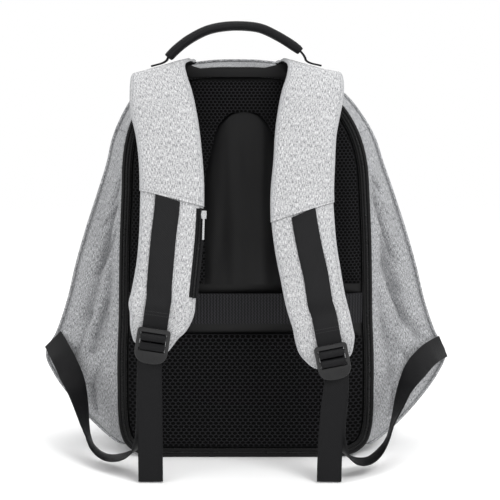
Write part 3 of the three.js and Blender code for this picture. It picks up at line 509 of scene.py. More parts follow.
# The body's cloth is a darker copy of the strap cloth: the extra darkness is painted shade for the
# panels that face away from the light. Its edge colour also paints the shade in the folds.
shadedBodyCloth = melangeCloth("heatheredPolyesterShadedBody", {
    "dark": "#434446", "light": "#bdbec0", "edge": "#36373a"})
padMesh = spacerMesh("blackSpacerMesh", {
    "across": 0.0062, "along": 0.0039, "thread": "#0a0a0b", "bright": "#28282a"})
fineMesh = spacerMesh("blackFineSpacerMesh", {
    "across": 0.0045, "along": 0.0034, "thread": "#0a0a0b", "bright": "#28282a"})
liningMesh = spacerMesh("blackLiningMesh", {
    "across": 0.0034, "along": 0.0026, "thread": "#0b0b0c", "bright": "#171719"})
webbingTwill = twillWebbing("blackTwillWebbing", {
    "column": 0.027, "rib": 0.0016, "dark": "#040405", "light": "#161618"})
elastic = twillWebbing("blackRibbedElastic", {
    "column": 0.0018, "rib": 0.0036, "dark": "#050506", "light": "#2a2a2d"})
satin = satinCloth("blackSatinPolyester", {
    "dark": "#040405", "light": "#0c0c0d", "gloss": (0.3, 0.46)})
trim = satinCloth("blackTrimPolyester", {
    "dark": "#030304", "light": "#0a0a0b", "gloss": (0.5, 0.7)})
plastic = mouldedAcetal("blackMouldedAcetal", {"dark": "#0c0c0d", "light": "#151516"})
coil = mouldedAcetal("blackPolyesterCoil", {"dark": "#0a0a0b", "light": "#141415"})
nickel = nickelPlate("nickelPlatedZinc", {"dark": "#b9babb", "light": "#d9dadb"})
greyThread = spunThread("greySpunThread", {"dark": "#5f6062", "light": "#8a8b8d"})
blackThread = spunThread("blackSpunThread", {"dark": "#101011", "light": "#202022"})
print("materials made")


# Camera, light and floor

studio = {
    "camera": (0.0051, -1.5540, 0.4652), "aim": (0.0051, -0.0705, 0.2435), "lens": 94.8,
    "sensor": 36, "sky": 1.0, "lampAim": (0, 0, 0.2), "floorRadius": 4, "floorSides": 64,
    "floorColour": "#fcfcfc", "floorFade": (0.9, 2.6),
}
lamps = {
    "keyLight": {"at": (1.1, -1.5, 1.9), "size": 1.1, "power": 30},
    "fillLight": {"at": (-1.6, -1.5, 1.1), "size": 1.6, "power": 8},
    "topLight": {"at": (0.0, 0.3, 2.2), "size": 1.8, "power": 16},
}


def aimedAt(name, data, spot, aim):
    made = linked(name, data)
    made.location = spot
    made.rotation_euler = (Vector(aim) - Vector(spot)).to_track_quat("-Z", "Y").to_euler()
    return made


def buildStudio():
    scene = bpy.context.scene
    lensData = bpy.data.cameras.new("camera")
    lensData.lens = studio["lens"]
    lensData.sensor_width = studio["sensor"]
    scene.camera = aimedAt("camera", lensData, studio["camera"], studio["aim"])
    scene.view_settings.view_transform = "Standard"

    sky = bpy.data.worlds.new("paleStudio")
    sky.use_nodes = True
    background = sky.node_tree.nodes["Background"]
    feed(sky.node_tree, background, {"Color": (1, 1, 1, 1), "Strength": studio["sky"]})
    scene.world = sky

    for name, lamp in lamps.items():
        light = bpy.data.lights.new(name, "AREA")
        light.shape = "DISK"
        light.size = lamp["size"]
        light.energy = lamp["power"]
        aimedAt(name, light, lamp["at"], studio["lampAim"])

    # A matt pale floor that fades out well beyond the bag.
    sides, radius = studio["floorSides"], studio["floorRadius"]
    turns = [2 * math.pi * k / sides for k in range(sides)]
    floorMesh = bpy.data.meshes.new("floor")
    floorMesh.from_pydata([(radius * math.cos(a), radius * math.sin(a), 0) for a in turns], [],
                          [list(range(sides))])
    material, tree, shader = startMaterial("paleFloor", {
        "Base Color": colour(studio["floorColour"]), "Roughness": 0.7,
        "Specular IOR Level": 0.2})
    away = addNode(tree, "ShaderNodeVectorMath", {"operation": "LENGTH"}, {0: objectMap(tree)})
    fade = ranged(tree, away.outputs["Value"], studio["floorFade"], (1.0, 0.0),
                  {"interpolation_type": "SMOOTHSTEP"})
    feed(tree, shader, {"Alpha": fade})
    floorMesh.materials.append(material)
    linked("floor", floorMesh)


buildStudio()
print("studio ready")


# The bag's cloth shell: side gussets, base, top gusset and the domed front

# Among these sizes are the dent depth that gets the fullest painted shade in the folds and that
# shade's share of the edge colour.
shell = {
    "rowSteps": 10, "gussetSteps": 22, "frontSteps": 12,
    "cornerRow": 4, "wingRow": 8, "notchRow": 15.5, "leanFrom": 0.67,
    "creaseDepth": 3.6, "rumple": 2.2, "rumpleSpan": 34, "fullShadeDent": 5.0,
    "frontSwell": 1.6, "frontRipple": 0.5, "frontSpan": 60, "lowestInside": 0.6,
    "edgeTintReach": 4, "foldShadeShare": 0.9, "pipingRadius": 1.8, "pipingSides": 10, "pipingOut": 0.45,
}
outline = namedRows("rimX rimZ flare rise seamY edgeIn edgeY faceIn faceY", [
    [0, 0, 0, 0, 0.88, 0.06, 0.98, 0.35, 1],
    [0.4, 0, 0, 0, 0.88, 0.06, 0.98, 0.35, 1],
    [0.7, 0, 0.01, 0, 0.83, 0.06, 0.96, 0.33, 1],
    [0.865, 0.013, 0.03, -0.004, 0.46, 0.04, 0.82, 0.28, 0.98],
    [0.95, 0.038, 0.065, -0.007, 0.09, 0.04, 0.66, 0.25, 0.96],
    [0.987, 0.075, 0.33, -0.017, 0.3, 0.05, 0.62, 0.26, 0.95],
    [1, 0.124, 0.64, -0.007, 0.42, 0.06, 0.64, 0.28, 0.94],
    [1, 0.178, 0.9, 0.006, 0.49, 0.06, 0.66, 0.3, 0.94],
    [1, 0.231, 1, 0.004, 0.507, 0.06, 0.68, 0.3, 0.94],
    [0.995, 0.289, 0.87, 0.002, 0.507, 0.06, 0.68, 0.3, 0.94],
    [0.983, 0.367, 0.735, 0.011, 0.493, 0.06, 0.68, 0.29, 0.93],
    [0.976, 0.467, 0.615, 0.011, 0.453, 0.06, 0.66, 0.28, 0.92],
    [0.966, 0.573, 0.48, 0.002, 0.4, 0.06, 0.62, 0.28, 0.9],
    [0.948, 0.684, 0.325, -0.002, 0.353, 0.06, 0.57, 0.27, 0.87],
    [0.935, 0.755, 0.22, -0.002, 0.3, 0.06, 0.53, 0.26, 0.84],
    [0.905, 0.811, 0.175, 0.005, 0.28, 0.05, 0.49, 0.25, 0.82],
    [0.85, 0.862, 0.135, 0.007, 0.273, 0.05, 0.47, 0.24, 0.8],
    [0.75, 0.915, 0.105, 0.009, 0.273, 0.045, 0.45, 0.23, 0.78],
    [0.59, 0.961, 0.07, 0.01, 0.273, 0.04, 0.44, 0.22, 0.76],
    [0.39, 0.99, 0.03, 0.01, 0.273, 0.035, 0.43, 0.21, 0.75],
    [0.19, 0.999, 0.01, 0.012, 0.273, 0.035, 0.43, 0.2, 0.74],
    [0, 1, 0, 0.013, 0.273, 0.035, 0.43, 0.2, 0.74],
])
# Folds of the side gussets as in the solids, and below them finer creases of the cloth alone.
foldColumns = "side upFrom outFrom upTo outTo reach dent"
folds = namedRows(foldColumns, [
    [-1, 0.72, 0.15, 0.36, 0.62, 0.032, 0.8],
    [-1, 0.47, 0.2, 0.27, 0.38, 0.024, 1],
    [-1, 0.5, 0.75, 0.3, 0.9, 0.035, -0.7],
    [-1, 0.2, 0.3, 0.12, 0.6, 0.03, 0.6],
    [1, 0.7, 0.2, 0.5, 0.6, 0.03, 0.8],
    [1, 0.5, 0.3, 0.3, 0.72, 0.03, 0.9],
    [1, 0.42, 0.15, 0.2, 0.25, 0.022, 0.7],
    [1, 0.3, 0.6, 0.2, 0.85, 0.035, -0.6],
])
creases = namedRows(foldColumns, [
    [-1, 0.735, 0.08, 0.655, 0.4, 0.016, 1.3],
    [-1, 0.67, 0.05, 0.6, 0.55, 0.012, 1.2],
    [-1, 0.6, 0.1, 0.47, 0.55, 0.014, 1.3],
    [1, 0.745, 0.06, 0.69, 0.5, 0.016, 1.4],
    [1, 0.68, 0.05, 0.63, 0.6, 0.013, 1.2],
    [1, 0.57, 0.3, 0.42, 0.6, 0.016, 1.3],
    [-1, 0.64, 0.3, 0.5, 0.5, 0.012, 1],
    [-1, 0.58, 0.15, 0.44, 0.3, 0.009, 0.8],
    [-1, 0.4, 0.3, 0.3, 0.42, 0.011, 1.1],
    [-1, 0.37, 0.22, 0.28, 0.26, 0.008, 0.9],
    [-1, 0.36, 0.55, 0.24, 0.62, 0.01, 0.9],
    [-1, 0.24, 0.2, 0.17, 0.45, 0.009, 0.8],
    [-1, 0.16, 0.45, 0.1, 0.62, 0.01, 0.7],
    [1, 0.62, 0.35, 0.52, 0.55, 0.011, 1],
    [1, 0.55, 0.25, 0.42, 0.5, 0.009, 0.9],
    [1, 0.44, 0.4, 0.34, 0.62, 0.011, 1.1],
    [1, 0.36, 0.2, 0.26, 0.33, 0.009, 0.8],
    [1, 0.3, 0.35, 0.2, 0.6, 0.01, 0.9],
    [1, 0.18, 0.3, 0.1, 0.5, 0.01, 0.8],
])


def leaned(point):
    start = bag["height"] * shell["leanFrom"]
    share = max(point.z - start, 0) / (bag["height"] - start)
    return Vector((point.x - bag["lean"] * share * share, point.y, max(point.z, 0)))


def stationsOf(row, side):
    rimX = side * row["rimX"] * bag["halfPanel"]
    rim = Vector((rimX, 0, row["rimZ"] * bag["height"]))
    seam = Vector((rimX + side * row["flare"] * bag["flare"], row["seamY"] * bag["depth"],
                   (row["rimZ"] + row["rise"]) * bag["height"]))
    found = [rim, seam]
    for share, depth in ((row["edgeIn"], row["edgeY"]), (row["faceIn"], row["faceY"])):
        point = seam.lerp(hub, share)
        point.y = depth * bag["depth"]
        found.append(point)
    return found


loopRows = [stationsOf(row, 1) for row in outline]
loopRows += [stationsOf(row, -1) for row in reversed(outline[1:-1])]
loopLines = [[row[k] for row in loopRows] for k in range(4)]
loopSize = len(loopRows) * shell["rowSteps"]


def loopStations(u, size):
    return [curvePoint(line, (u % size) / size, True) for line in loopLines]


def foldAt(table, point, side, out, depth):
    dent = 0.0
    for fold in table:
        if fold["side"] != side:
            continue
        height = point.z / bag["height"]
        along = (height - fold["upFrom"]) / (fold["upTo"] - fold["upFrom"])
        nearest = min(max(along, 0), 1)
        up = (height - mix(fold["upFrom"], fold["upTo"], nearest)) * bag["height"]
        aside = (out - mix(fold["outFrom"], fold["outTo"], nearest)) * bag["flare"]
        off = math.hypot(up, aside) / (fold["reach"] * 2 * bag["halfPanel"])
        dent += fold["dent"] * math.exp(-off * off)
    return dent * depth * math.sin(math.pi * out)


paintedFoldShade = []  # painted shade in the folds: how dark the cloth is coloured there, from 0 to 1


def shellColumn(u):
    rim, seam, edge, face = loopStations(u, loopSize)
    shade = []
    side = (rim.x > 0) - (rim.x < 0)
    outwards = Vector((seam.y - rim.y, -math.hypot(seam.x - rim.x, seam.z - rim.z), 0))
    outwards.normalize()
    outwards.x *= side
    column = []
    for v in range(shell["gussetSteps"]):
        out = v / shell["gussetSteps"]
        point = rim.lerp(seam, out)
        depth = foldAt(folds, point, side, out, bag["foldDepth"])
        depth += foldAt(creases, point, side, out, shell["creaseDepth"])
        spot = Vector((point.x * 0.9, point.y, point.z)) / shell["rumpleSpan"]
        depth += shell["rumple"] * noise.noise(spot) * math.sin(math.pi * out) ** 0.7
        column.append(point - outwards * depth)
        # Painted shade: deeper dents get more of the dark edge colour.
        shade.append(min(max(depth / shell["fullShadeDent"], 0), 1))
    paintedFoldShade.append(shade)
    pole = Vector((0, bag["depth"], hub.z))
    steps = 3 * shell["frontSteps"]
    for v in range(steps + 1):
        column.append(curvePoint([seam, edge, face, pole], v / steps))
    return [leaned(point) for point in column]


shellOuter = [shellColumn(u) for u in range(loopSize)]
shellDepth = len(shellOuter[0])


def shellNormal(u, v):
    if v == shellDepth - 1:
        return Vector((0, 1, 0))
    here = shellOuter[u][v]
    right, left = shellOuter[(u + 1) % loopSize][v], shellOuter[u - 1][v]
    above = shellOuter[u][v + 1]
    below = shellOuter[u][v - 1] if v else here
    return (above - below).cross(right - left).normalized()


shellNormals = [[shellNormal(u, v) for v in range(shellDepth)] for u in range(loopSize)]
# The front panel gets its own soft rumple, fading out at its seam.
for u in range(loopSize):
    for v in range(shell["gussetSteps"] + 1, shellDepth):
        inside = (v - shell["gussetSteps"]) / (shellDepth - 1 - shell["gussetSteps"])
        fade = min(inside * 4, 1)
        spot = shellOuter[u][v] / shell["frontSpan"]
        swell = shell["frontSwell"] * noise.noise(spot)
        swell += shell["frontRipple"] * noise.noise(spot * 3.1)
        shellOuter[u][v] = shellOuter[u][v] + shellNormals[u][v] * swell * fade
        shellOuter[u][v].z = max(shellOuter[u][v].z, 0)
shellInner = [[shellOuter[u][v] - shellNormals[u][v] * bag["wall"] for v in range(shellDepth)]
              for u in range(loopSize)]
for column in shellInner:
    for point in column:
        point.z = max(point.z, shell["lowestInside"])


# Faces between an outer and an inner grid, grid[u][v], round along u where it closes on itself.
def wallFaces(columns, depth, closed, domed):
    faces = []

    def quad(*corners):
        face = []
        for layer, u, v in corners:
            column = 0 if domed and v == depth - 1 else u % columns
            face.append((layer * columns + column) * depth + v)
        faces.append(list(dict.fromkeys(face)))

    end, last = columns if closed else columns - 1, depth - 1
    for u in range(end):
        for v in range(last):
            quad((0, u, v), (0, u + 1, v), (0, u + 1, v + 1), (0, u, v + 1))
            quad((1, u, v), (1, u, v + 1), (1, u + 1, v + 1), (1, u + 1, v))
        quad((0, u, 0), (1, u, 0), (1, u + 1, 0), (0, u + 1, 0))
        if not domed:
            quad((0, u, last), (0, u + 1, last), (1, u + 1, last), (1, u, last))
    if not closed:
        for v in range(last):
            quad((0, 0, v), (0, 0, v + 1), (1, 0, v + 1), (1, 0, v))
            quad((0, end, v), (1, end, v), (1, end, v + 1), (0, end, v + 1))
    return faces


# Draws a point half a gap towards its neighbour.
def pull(point, towards):
    way = towards - point
    if way.length > 1e-6:
        point += way.normalized() * min(bag["gap"] / 2, way.length / 2)


def clothPanel(name, uFrom, uTo, vFrom, vTo, flat, stands):
    closed = uTo - uFrom == loopSize
    domed = vTo == shellDepth - 1
    columns = list(range(uFrom, uTo + (0 if closed else 1)))
    depth = vTo - vFrom + 1
    grids = []
    for grid in (shellOuter, shellInner):
        cut = [[grid[u % loopSize][v].copy() for v in range(vFrom, vTo + 1)] for u in columns]
        for column in cut:
            if vFrom:
                pull(column[0], column[1])
            if not domed:
                pull(column[-1], column[-2])
        if not closed:
            for v in range(depth):
                pull(cut[0][v], cut[1][v])
                pull(cut[-1][v], cut[-2][v])
        grids.append(cut)
    points = [p for grid in grids for column in grid for p in column]
    faces = wallFaces(len(columns), depth, closed, domed)
    spots, wear = [], []
    for grid in grids:
        for u, column in enumerate(grid):
            total = sum((b - a).length for a, b in zip(column, column[1:]))
            gone = 0.0
            for v, point in enumerate(column):
                if v:
                    gone += (point - column[v - 1]).length
                edge = gone if domed else total - gone
                # The cloth takes the dark edge colour along the piping seam, and as painted shade
                # in its folds.
                shade = paintedFoldShade[columns[u] % loopSize]
                folded = shade[vFrom + v] if vFrom + v < len(shade) else 0
                wear.append(max(math.exp(-(edge / shell["edgeTintReach"]) ** 2),
                                shell["foldShadeShare"] * folded))
                spots.append({"front": (point.x, point.z), "side": (gone, point.z),
                              "top": (gone, point.x)}[flat])
    maps = [[spots[i] for i in face] for face in faces]
    return makePiece(name, points, faces, shadedBodyCloth, stands, "grey_cloth", maps, wear)


corner = shell["cornerRow"] * shell["rowSteps"]
notch = int(shell["notchRow"] * shell["rowSteps"])
wing = shell["wingRow"] * shell["rowSteps"]
gussetEnd = shell["gussetSteps"]
for name, uFrom, uTo, flat, node in (
        ("baseCloth", -corner, corner, "top", "base_panel"),
        ("sideGussetRightCloth", corner, notch, "side", "side_gusset_right"),
        ("topGussetCloth", notch, loopSize - notch, "top", "top_gusset"),
        ("sideGussetLeftCloth", loopSize - notch, loopSize - corner, "side",
         "side_gusset_left")):
    clothPanel(name, uFrom, uTo, 0, gussetEnd, flat, [node])
clothPanel("frontPanelCloth", 0, loopSize, gussetEnd, shellDepth - 1, "front", ["front_panel"])


# Piping in the seam between the gussets and the front.
def makePiping():
    radius, sides = shell["pipingRadius"], shell["pipingSides"]
    turns = [2 * math.pi * k / sides for k in range(sides)]
    rings = []
    for u in range(loopSize):
        before = shellOuter[u - 1][gussetEnd]
        after = shellOuter[(u + 1) % loopSize][gussetEnd]
        along = (after - before).normalized()
        out = shellNormals[u][gussetEnd] - along * shellNormals[u][gussetEnd].dot(along)
        out.normalize()
        side = along.cross(out)
        middle = shellOuter[u][gussetEnd] + out * radius * shell["pipingOut"]
        middle.z = max(middle.z, radius)
        rings.append([middle + (out * math.cos(a) + side * math.sin(a)) * radius
                      for a in turns])
    points, faces, maps = skinned(rings, True)
    makePiece("seamPiping", points, faces, shadedBodyCloth, slot="grey_cloth", maps=maps)


makePiping()


# A line of points on the shell at a distance from one of its seams, for stitches.
def shellLine(uFrom, uTo, start, step, distance):
    line = []
    for u in range(uFrom, uTo + 1):
        column, normals = shellOuter[u % loopSize], shellNormals[u % loopSize]
        left, v = distance, start
        while 0 <= v + step < shellDepth and left > 0:
            hop = (column[v + step] - column[v]).length
            if hop >= left:
                spot = column[v].lerp(column[v + step], left / hop)
                line.append(spot + normals[v] * 0.15)
                left = 0
            else:
                left -= hop
                v += step
    return line


stitchLook = {"spacing": 3.6, "length": 2.7, "width": 0.55, "height": 0.5}
greyRows = []
for first, last, distance in ((corner + 12, notch, 5.5), (corner + 12, wing, 2.4)):
    for ends in ((first, last), (loopSize - last, loopSize - first)):
        greyRows.append((shellLine(*ends, gussetEnd, -1, distance), False))
greyRows += [
    (shellLine(notch, loopSize - notch, gussetEnd, -1, 5.0), False),
    (shellLine(0, loopSize - 1, gussetEnd, 1, 6.0), True),
    (shellLine(corner + 6, loopSize - corner - 6, 0, 1, 3.0), False),
]
bodiesAlong("gussetStitches", greyRows, stitchLook, greyThread)
print("shell made")


# The back panel: board, zip band with its coil, mesh pads, spine channel and luggage band

panel = {
    "bandWidth": 11.0, "bandThickness": 2.0, "ribHeight": 1.1, "ribFromEdge": 2.3,
    "ribReach": 1.5, "padMargin": 0.6, "padThickness": 9.0, "upperPad": (204.0, 436.0),
    "lumbarTop": 148.0, "channelTop": 402.0, "channelWidths": (90.0, 60.0), "leanShare": 0.2,
    "luggageMiddle": 177.0, "luggageHeight": 35.0, "luggageThickness": 2.0, "luggageSlot": 6.5,
    "luggageRibs": 3.6, "luggageRelief": 0.45, "bandCrown": 0.25, "bandStitchFrom": 0.6,
    "spineLining": 0.9, "foldDepth": 2.6, "foldMean": 0.6, "foldSpan": (24, 160),
    "wrinkle": 0.2, "wrinkleSpan": (9, 70),
    "facingDepth": (3.9, 5.1), "facingFoot": 439.0,
    "facingTop": [(-73, 456.6), (-66, 455), (-58, 451), (-50.4, 448.6), (-30, 448), (0, 448),
                  (18.4, 448.6), (29.5, 451.2), (40, 454), (49, 456)],
}
rimLine = [Vector((column[0].x, column[0].z)) for column in shellOuter]


def drawnIn(distance, line=None):
    line = line or rimLine
    found = []
    for i, point in enumerate(line):
        along = (line[(i + 1) % len(line)] - line[i - 1]).normalized()
        found.append(Vector((point.x - along.y * distance, point.y + along.x * distance)))
    return found


def makeBand():
    rings = []
    width, thick = panel["bandWidth"], panel["bandThickness"]
    across = [k * width / 22 for k in range(23)]

    def top(w):
        height = thick + panel["bandCrown"] * math.sin(math.pi * w / width)
        for middle in (panel["ribFromEdge"], width - panel["ribFromEdge"]):
            off = abs(w - middle) / panel["ribReach"]
            if off < 1:
                height += panel["ribHeight"] * math.sqrt(1 - off * off)
        return min(height, thick + panel["ribHeight"] + 0.3)

    def raised(distance, up):
        return [Vector((p.x, -bag["gap"] - thick - up, p.y)) for p in drawnIn(distance)]

    lines = [drawnIn(w) for w in across]
    for i in range(loopSize):
        front = [Vector((line[i].x, -bag["gap"] - top(w), line[i].y))
                 for w, line in zip(across, lines)]
        back = [Vector((line[i].x, -bag["gap"], line[i].y)) for line in (lines[-1], lines[0])]
        rings.append(front + back)
    points, faces, maps = skinned(rings, True)
    makePiece("zipBandCloth", points, faces, trim, ["zip_band"], "black_cloth", maps)
    bodiesAlong("zipCoil", [(raised(width / 2, 0.5), True)],
                {"spacing": 1.5, "length": 1.15, "width": 4.2, "height": 1.5}, coil,
                stands=["zip_chain"])
    lines = [(raised(w, 0.1), True) for w in (panel["bandStitchFrom"], width - 0.5)]
    bodiesAlong("zipBandStitches", lines, {**stitchLook, "width": 0.45}, blackThread)


makeBand()


# A prism over an outline in the panel's plane, its front and back drawn in by their own insets.
def prism(outlinePoints, levels):
    rings = []
    for y, inset in levels:
        line = drawnIn(inset, outlinePoints) if inset else outlinePoints
        rings.append([Vector((p.x, y, p.y)) for p in line])
    points, faces, _ = skinned(rings)
    return points, faces


# A piece of black cloth whose map is its view from the front.
def blackPiece(name, points, faces, material, stands=()):
    maps = [[(points[i].x, points[i].z) for i in face] for face in faces]
    makePiece(name, points, faces, material, stands, "black_cloth", maps)


boardLine = drawnIn(bag["wall"] + 2 * bag["gap"])
blackPiece("backBoardCloth", *prism(boardLine, [(5.0, 0), (0.6, 0), (0.0, 0.6)]), satin,
           ["back_board"])

# The black facing between the strap roots covers the band's ribs at the top.
top = [Vector(p) for p in panel["facingTop"]]
edge = []
for a, b in zip(top, top[1:]):
    edge += [a.lerp(b, k / 4) for k in range(4)]
edge.append(top[-1])
edge = [Vector((p.x, panel["facingFoot"])) for p in edge] + edge[::-1]
back, front = (-depth for depth in panel["facingDepth"])
blackPiece("rootFacingCloth", *prism(edge, [(back, 0), (front + 0.4, 0), (front, 0.5)]), trim)

padInside = drawnIn(panel["bandWidth"] + panel["padMargin"])


def sideCrossing(z, side):
    line = sorted((p for p in padInside if p.x * side > 0), key=lambda p: p.y)
    i = next(k for k, p in enumerate(line) if p.y >= z)
    share = (z - line[i - 1].y) / (line[i].y - line[i - 1].y)
    return line[i - 1].lerp(line[i], share)


def padEdge(low, high):
    kept = [p for p in padInside if low + 0.6 < p.y < high - 0.6]
    rising = sorted((p for p in kept if p.x > 0), key=lambda p: p.y)
    falling = sorted((p for p in kept if p.x < 0), key=lambda p: -p.y)
    return [sideCrossing(low, 1), *rising, sideCrossing(high, 1),
            sideCrossing(high, -1), *falling, sideCrossing(low, -1)]


def channelEdge(grow):
    low, _ = panel["upperPad"]
    half, halfTop = (w / 2 + grow for w in panel["channelWidths"])
    turn = panel["channelWidths"][1] / 4
    top = panel["channelTop"] + grow
    waist = mix(low, panel["channelTop"], 0.6)
    right = [Vector(p) for p in ((half, low), (half, waist), (halfTop, top - turn),
                                 (halfTop - turn, top))]
    left = [Vector((-p.x, p.y)) for p in reversed(right)]
    line = []
    knots = left[::-1] + right[::-1]
    for a, b in zip(knots, knots[1:]):
        parts = max(1, round((b - a).length / 4))
        line += [a.lerp(b, k / parts) for k in range(parts)]
    line.append(knots[-1])
    for _ in range(6):
        line = [line[0]] + [line[i] * 0.5 + (line[i - 1] + line[i + 1]) * 0.25
                            for i in range(1, len(line) - 1)] + [line[-1]]
    return [Vector((p.x - bag["lean"] * panel["leanShare"], p.y)) for p in line]


pads = {
    "voxel": 3.2, "pressure": 5.0, "quality": 4, "frames": 20, "cap": 3.2, "aside": 0.5,
    "held": 1.6, "fill": 0.7, "smoothing": 3,
}


# A pad's start: a prism with its edges drawn in, remeshed into even faces.
def padStart(name, outlinePoints):
    thick = panel["padThickness"]
    levels = [(0, 0.9), (1.5, 0.2), (thick * 0.6, 0.9), (thick * 0.82, 3.4)]
    points, faces = prism(outlinePoints, [(-bag["gap"] - up, inset) for up, inset in levels])
    cut = bpy.data.meshes.new(name + "Start")
    cut.from_pydata([place(p) for p in points], [], faces)
    solid = bmesh.new()
    solid.from_mesh(cut)
    faceOutwards(solid)
    bmesh.ops.triangulate(solid, faces=[f for f in solid.faces if len(f.verts) > 4])
    solid.to_mesh(cut)
    solid.free()
    work = linked(name + "Start", cut)
    remesh = work.modifiers.new("remesh", "REMESH")
    remesh.mode = "VOXEL"
    remesh.voxel_size = pads["voxel"] / 1000
    work.data = evaluatedMesh(work)
    work.modifiers.clear()
    return work


# Swells a pad by cloth pressure with its back held, and keeps it in its own space.
def swell(work):
    start = [v.co.copy() for v in work.data.vertices]
    backY = (backPlane - bag["gap"]) / 1000
    held = work.vertex_groups.new(name="held")
    held.add([i for i, p in enumerate(start) if p.y > backY - pads["held"] / 1000], 1.0,
             "REPLACE")
    cloth = work.modifiers.new("cloth", "CLOTH")
    cloth.settings.use_pressure = True
    cloth.settings.uniform_pressure_force = pads["pressure"]
    cloth.settings.effector_weights.gravity = 0
    cloth.settings.vertex_group_mass = "held"
    cloth.settings.quality = pads["quality"]
    cloth.collision_settings.use_collision = False
    scene = bpy.context.scene
    for step in range(1, pads["frames"] + 1):
        scene.frame_set(step)
    swollen = evaluatedMesh(work)
    work.modifiers.clear()
    cap, aside = pads["cap"] / 1000, pads["aside"] / 1000
    for vertex, old, new in zip(work.data.vertices, start, swollen.vertices):
        way = new.co - old
        if way.length > cap:
            way *= cap / way.length
        way.x = max(min(way.x, aside), -aside)
        way.z = max(min(way.z, aside), -aside)
        vertex.co = old + way
        vertex.co.y = min(vertex.co.y, backY)
    scene.frame_set(1)
    bpy.data.meshes.remove(swollen)


def puffedPad(name, outlinePoints, stands, mesh):
    work = padStart(name, outlinePoints)
    swell(work)
    smooth = work.modifiers.new("smooth", "SMOOTH")
    smooth.factor = 0.5
    smooth.iterations = pads["smoothing"]
    fine = work.modifiers.new("fine", "SUBSURF")
    fine.levels = fine.render_levels = 1
    made = evaluatedMesh(work)
    bpy.data.objects.remove(work)
    made.name = name
    layer = made.uv_layers.new(name="weave")
    for loop in made.loops:
        spot = made.vertices[loop.vertex_index].co
        layer.data[loop.index].uv = (spot.x, spot.z)
    for face in made.polygons:
        face.use_smooth = True
    addPiece(name, made, mesh, stands)
    print(name, "made with", len(made.polygons), "faces")


low, high = panel["upperPad"]
puffedPad("upperBackPad", padEdge(low, high) + channelEdge(0), ["upper_back_pad"], fineMesh)
lumbarLine = [p for p in padInside if p.y < panel["lumbarTop"] - 0.6]
lumbarLine.sort(key=lambda p: math.atan2(p.x, panel["lumbarTop"] / 2 - p.y))
lumbarLine += [sideCrossing(panel["lumbarTop"], 1), sideCrossing(panel["lumbarTop"], -1)]
puffedPad("lumbarPad", lumbarLine, ["lumbar_pad"], padMesh)


# The spine channel is lined with smooth cloth that stands in soft upright folds.
def makeSpine():
    edge = channelEdge(-panel["padMargin"])
    middle = -bag["lean"] * panel["leanShare"]
    left = [p for p in edge if p.x < middle]
    bottom, top = panel["upperPad"][0] + 0.3, max(p.y for p in edge) - 0.3
    (wide, high), (slim, low) = panel["foldSpan"], panel["wrinkleSpan"]
    levels, columns = 60, 33
    grids = ([], [])
    for k in range(levels + 1):
        z = mix(bottom, top, k / levels)
        nearest = min(left, key=lambda p: abs(p.y - z))
        half = middle - nearest.x
        for layer, grid in enumerate(grids):
            row = []
            for i in range(columns):
                share = 2 * i / (columns - 1) - 1
                aside = share * half
                fold = panel["foldMean"] + noise.noise(Vector((aside / wide, 0, z / high)))
                fold += panel["wrinkle"] * noise.noise(Vector((aside / slim, 5, z / low)))
                depth = panel["foldDepth"] * max(fold, 0) * (1 - share ** 4)
                y = -bag["gap"] - panel["spineLining"] - depth
                row.append(Vector((middle + share * half, -bag["gap"] if layer else y, z)))
            grid.append(row)
    points = [p for grid in grids for row in grid for p in row]
    blackPiece("spinePanelCloth", points, wallFaces(levels + 1, columns, False, False), satin,
               ["spine_panel"])


makeSpine()


# The luggage band is ribbed elastic, sewn down at both ends.
def makeLuggageBand():
    thick, height = panel["luggageThickness"], panel["luggageHeight"]
    end = sideCrossing(panel["luggageMiddle"] + height / 2, 1).x
    far = -bag["gap"] - panel["luggageSlot"] - thick / 2
    near = -bag["gap"] - thick / 2
    half = [Vector((out * end, mix(near, far, off), panel["luggageMiddle"]))
            for out, off in ((1, 0), (0.96, 0.25), (0.9, 0.85), (0.83, 1), (0.4, 1), (0.1, 1))]
    path = half + [Vector((-p.x, p.y, p.z)) for p in reversed(half)]
    stations = framed(refined([{"at": p, "across": Vector((0, 0, 1))} for p in path], 8))
    relief, count = panel["luggageRelief"], 66
    section = []
    for k in range(count + 1):
        side = height / 2 - height * k / count
        rib = relief * math.cos(2 * math.pi * side / panel["luggageRibs"])
        section.append((side, thick / 2 - relief + rib * (abs(side) < height / 2 - 1)))
    section += [(-height / 2, -thick / 2), (height / 2, -thick / 2)]
    sweep("luggageBandElastic", stations, lambda s: section, elastic,
          stands=["luggage_band"], slot="black_webbing")


makeLuggageBand()
print("back panel made")


# Shoulder straps

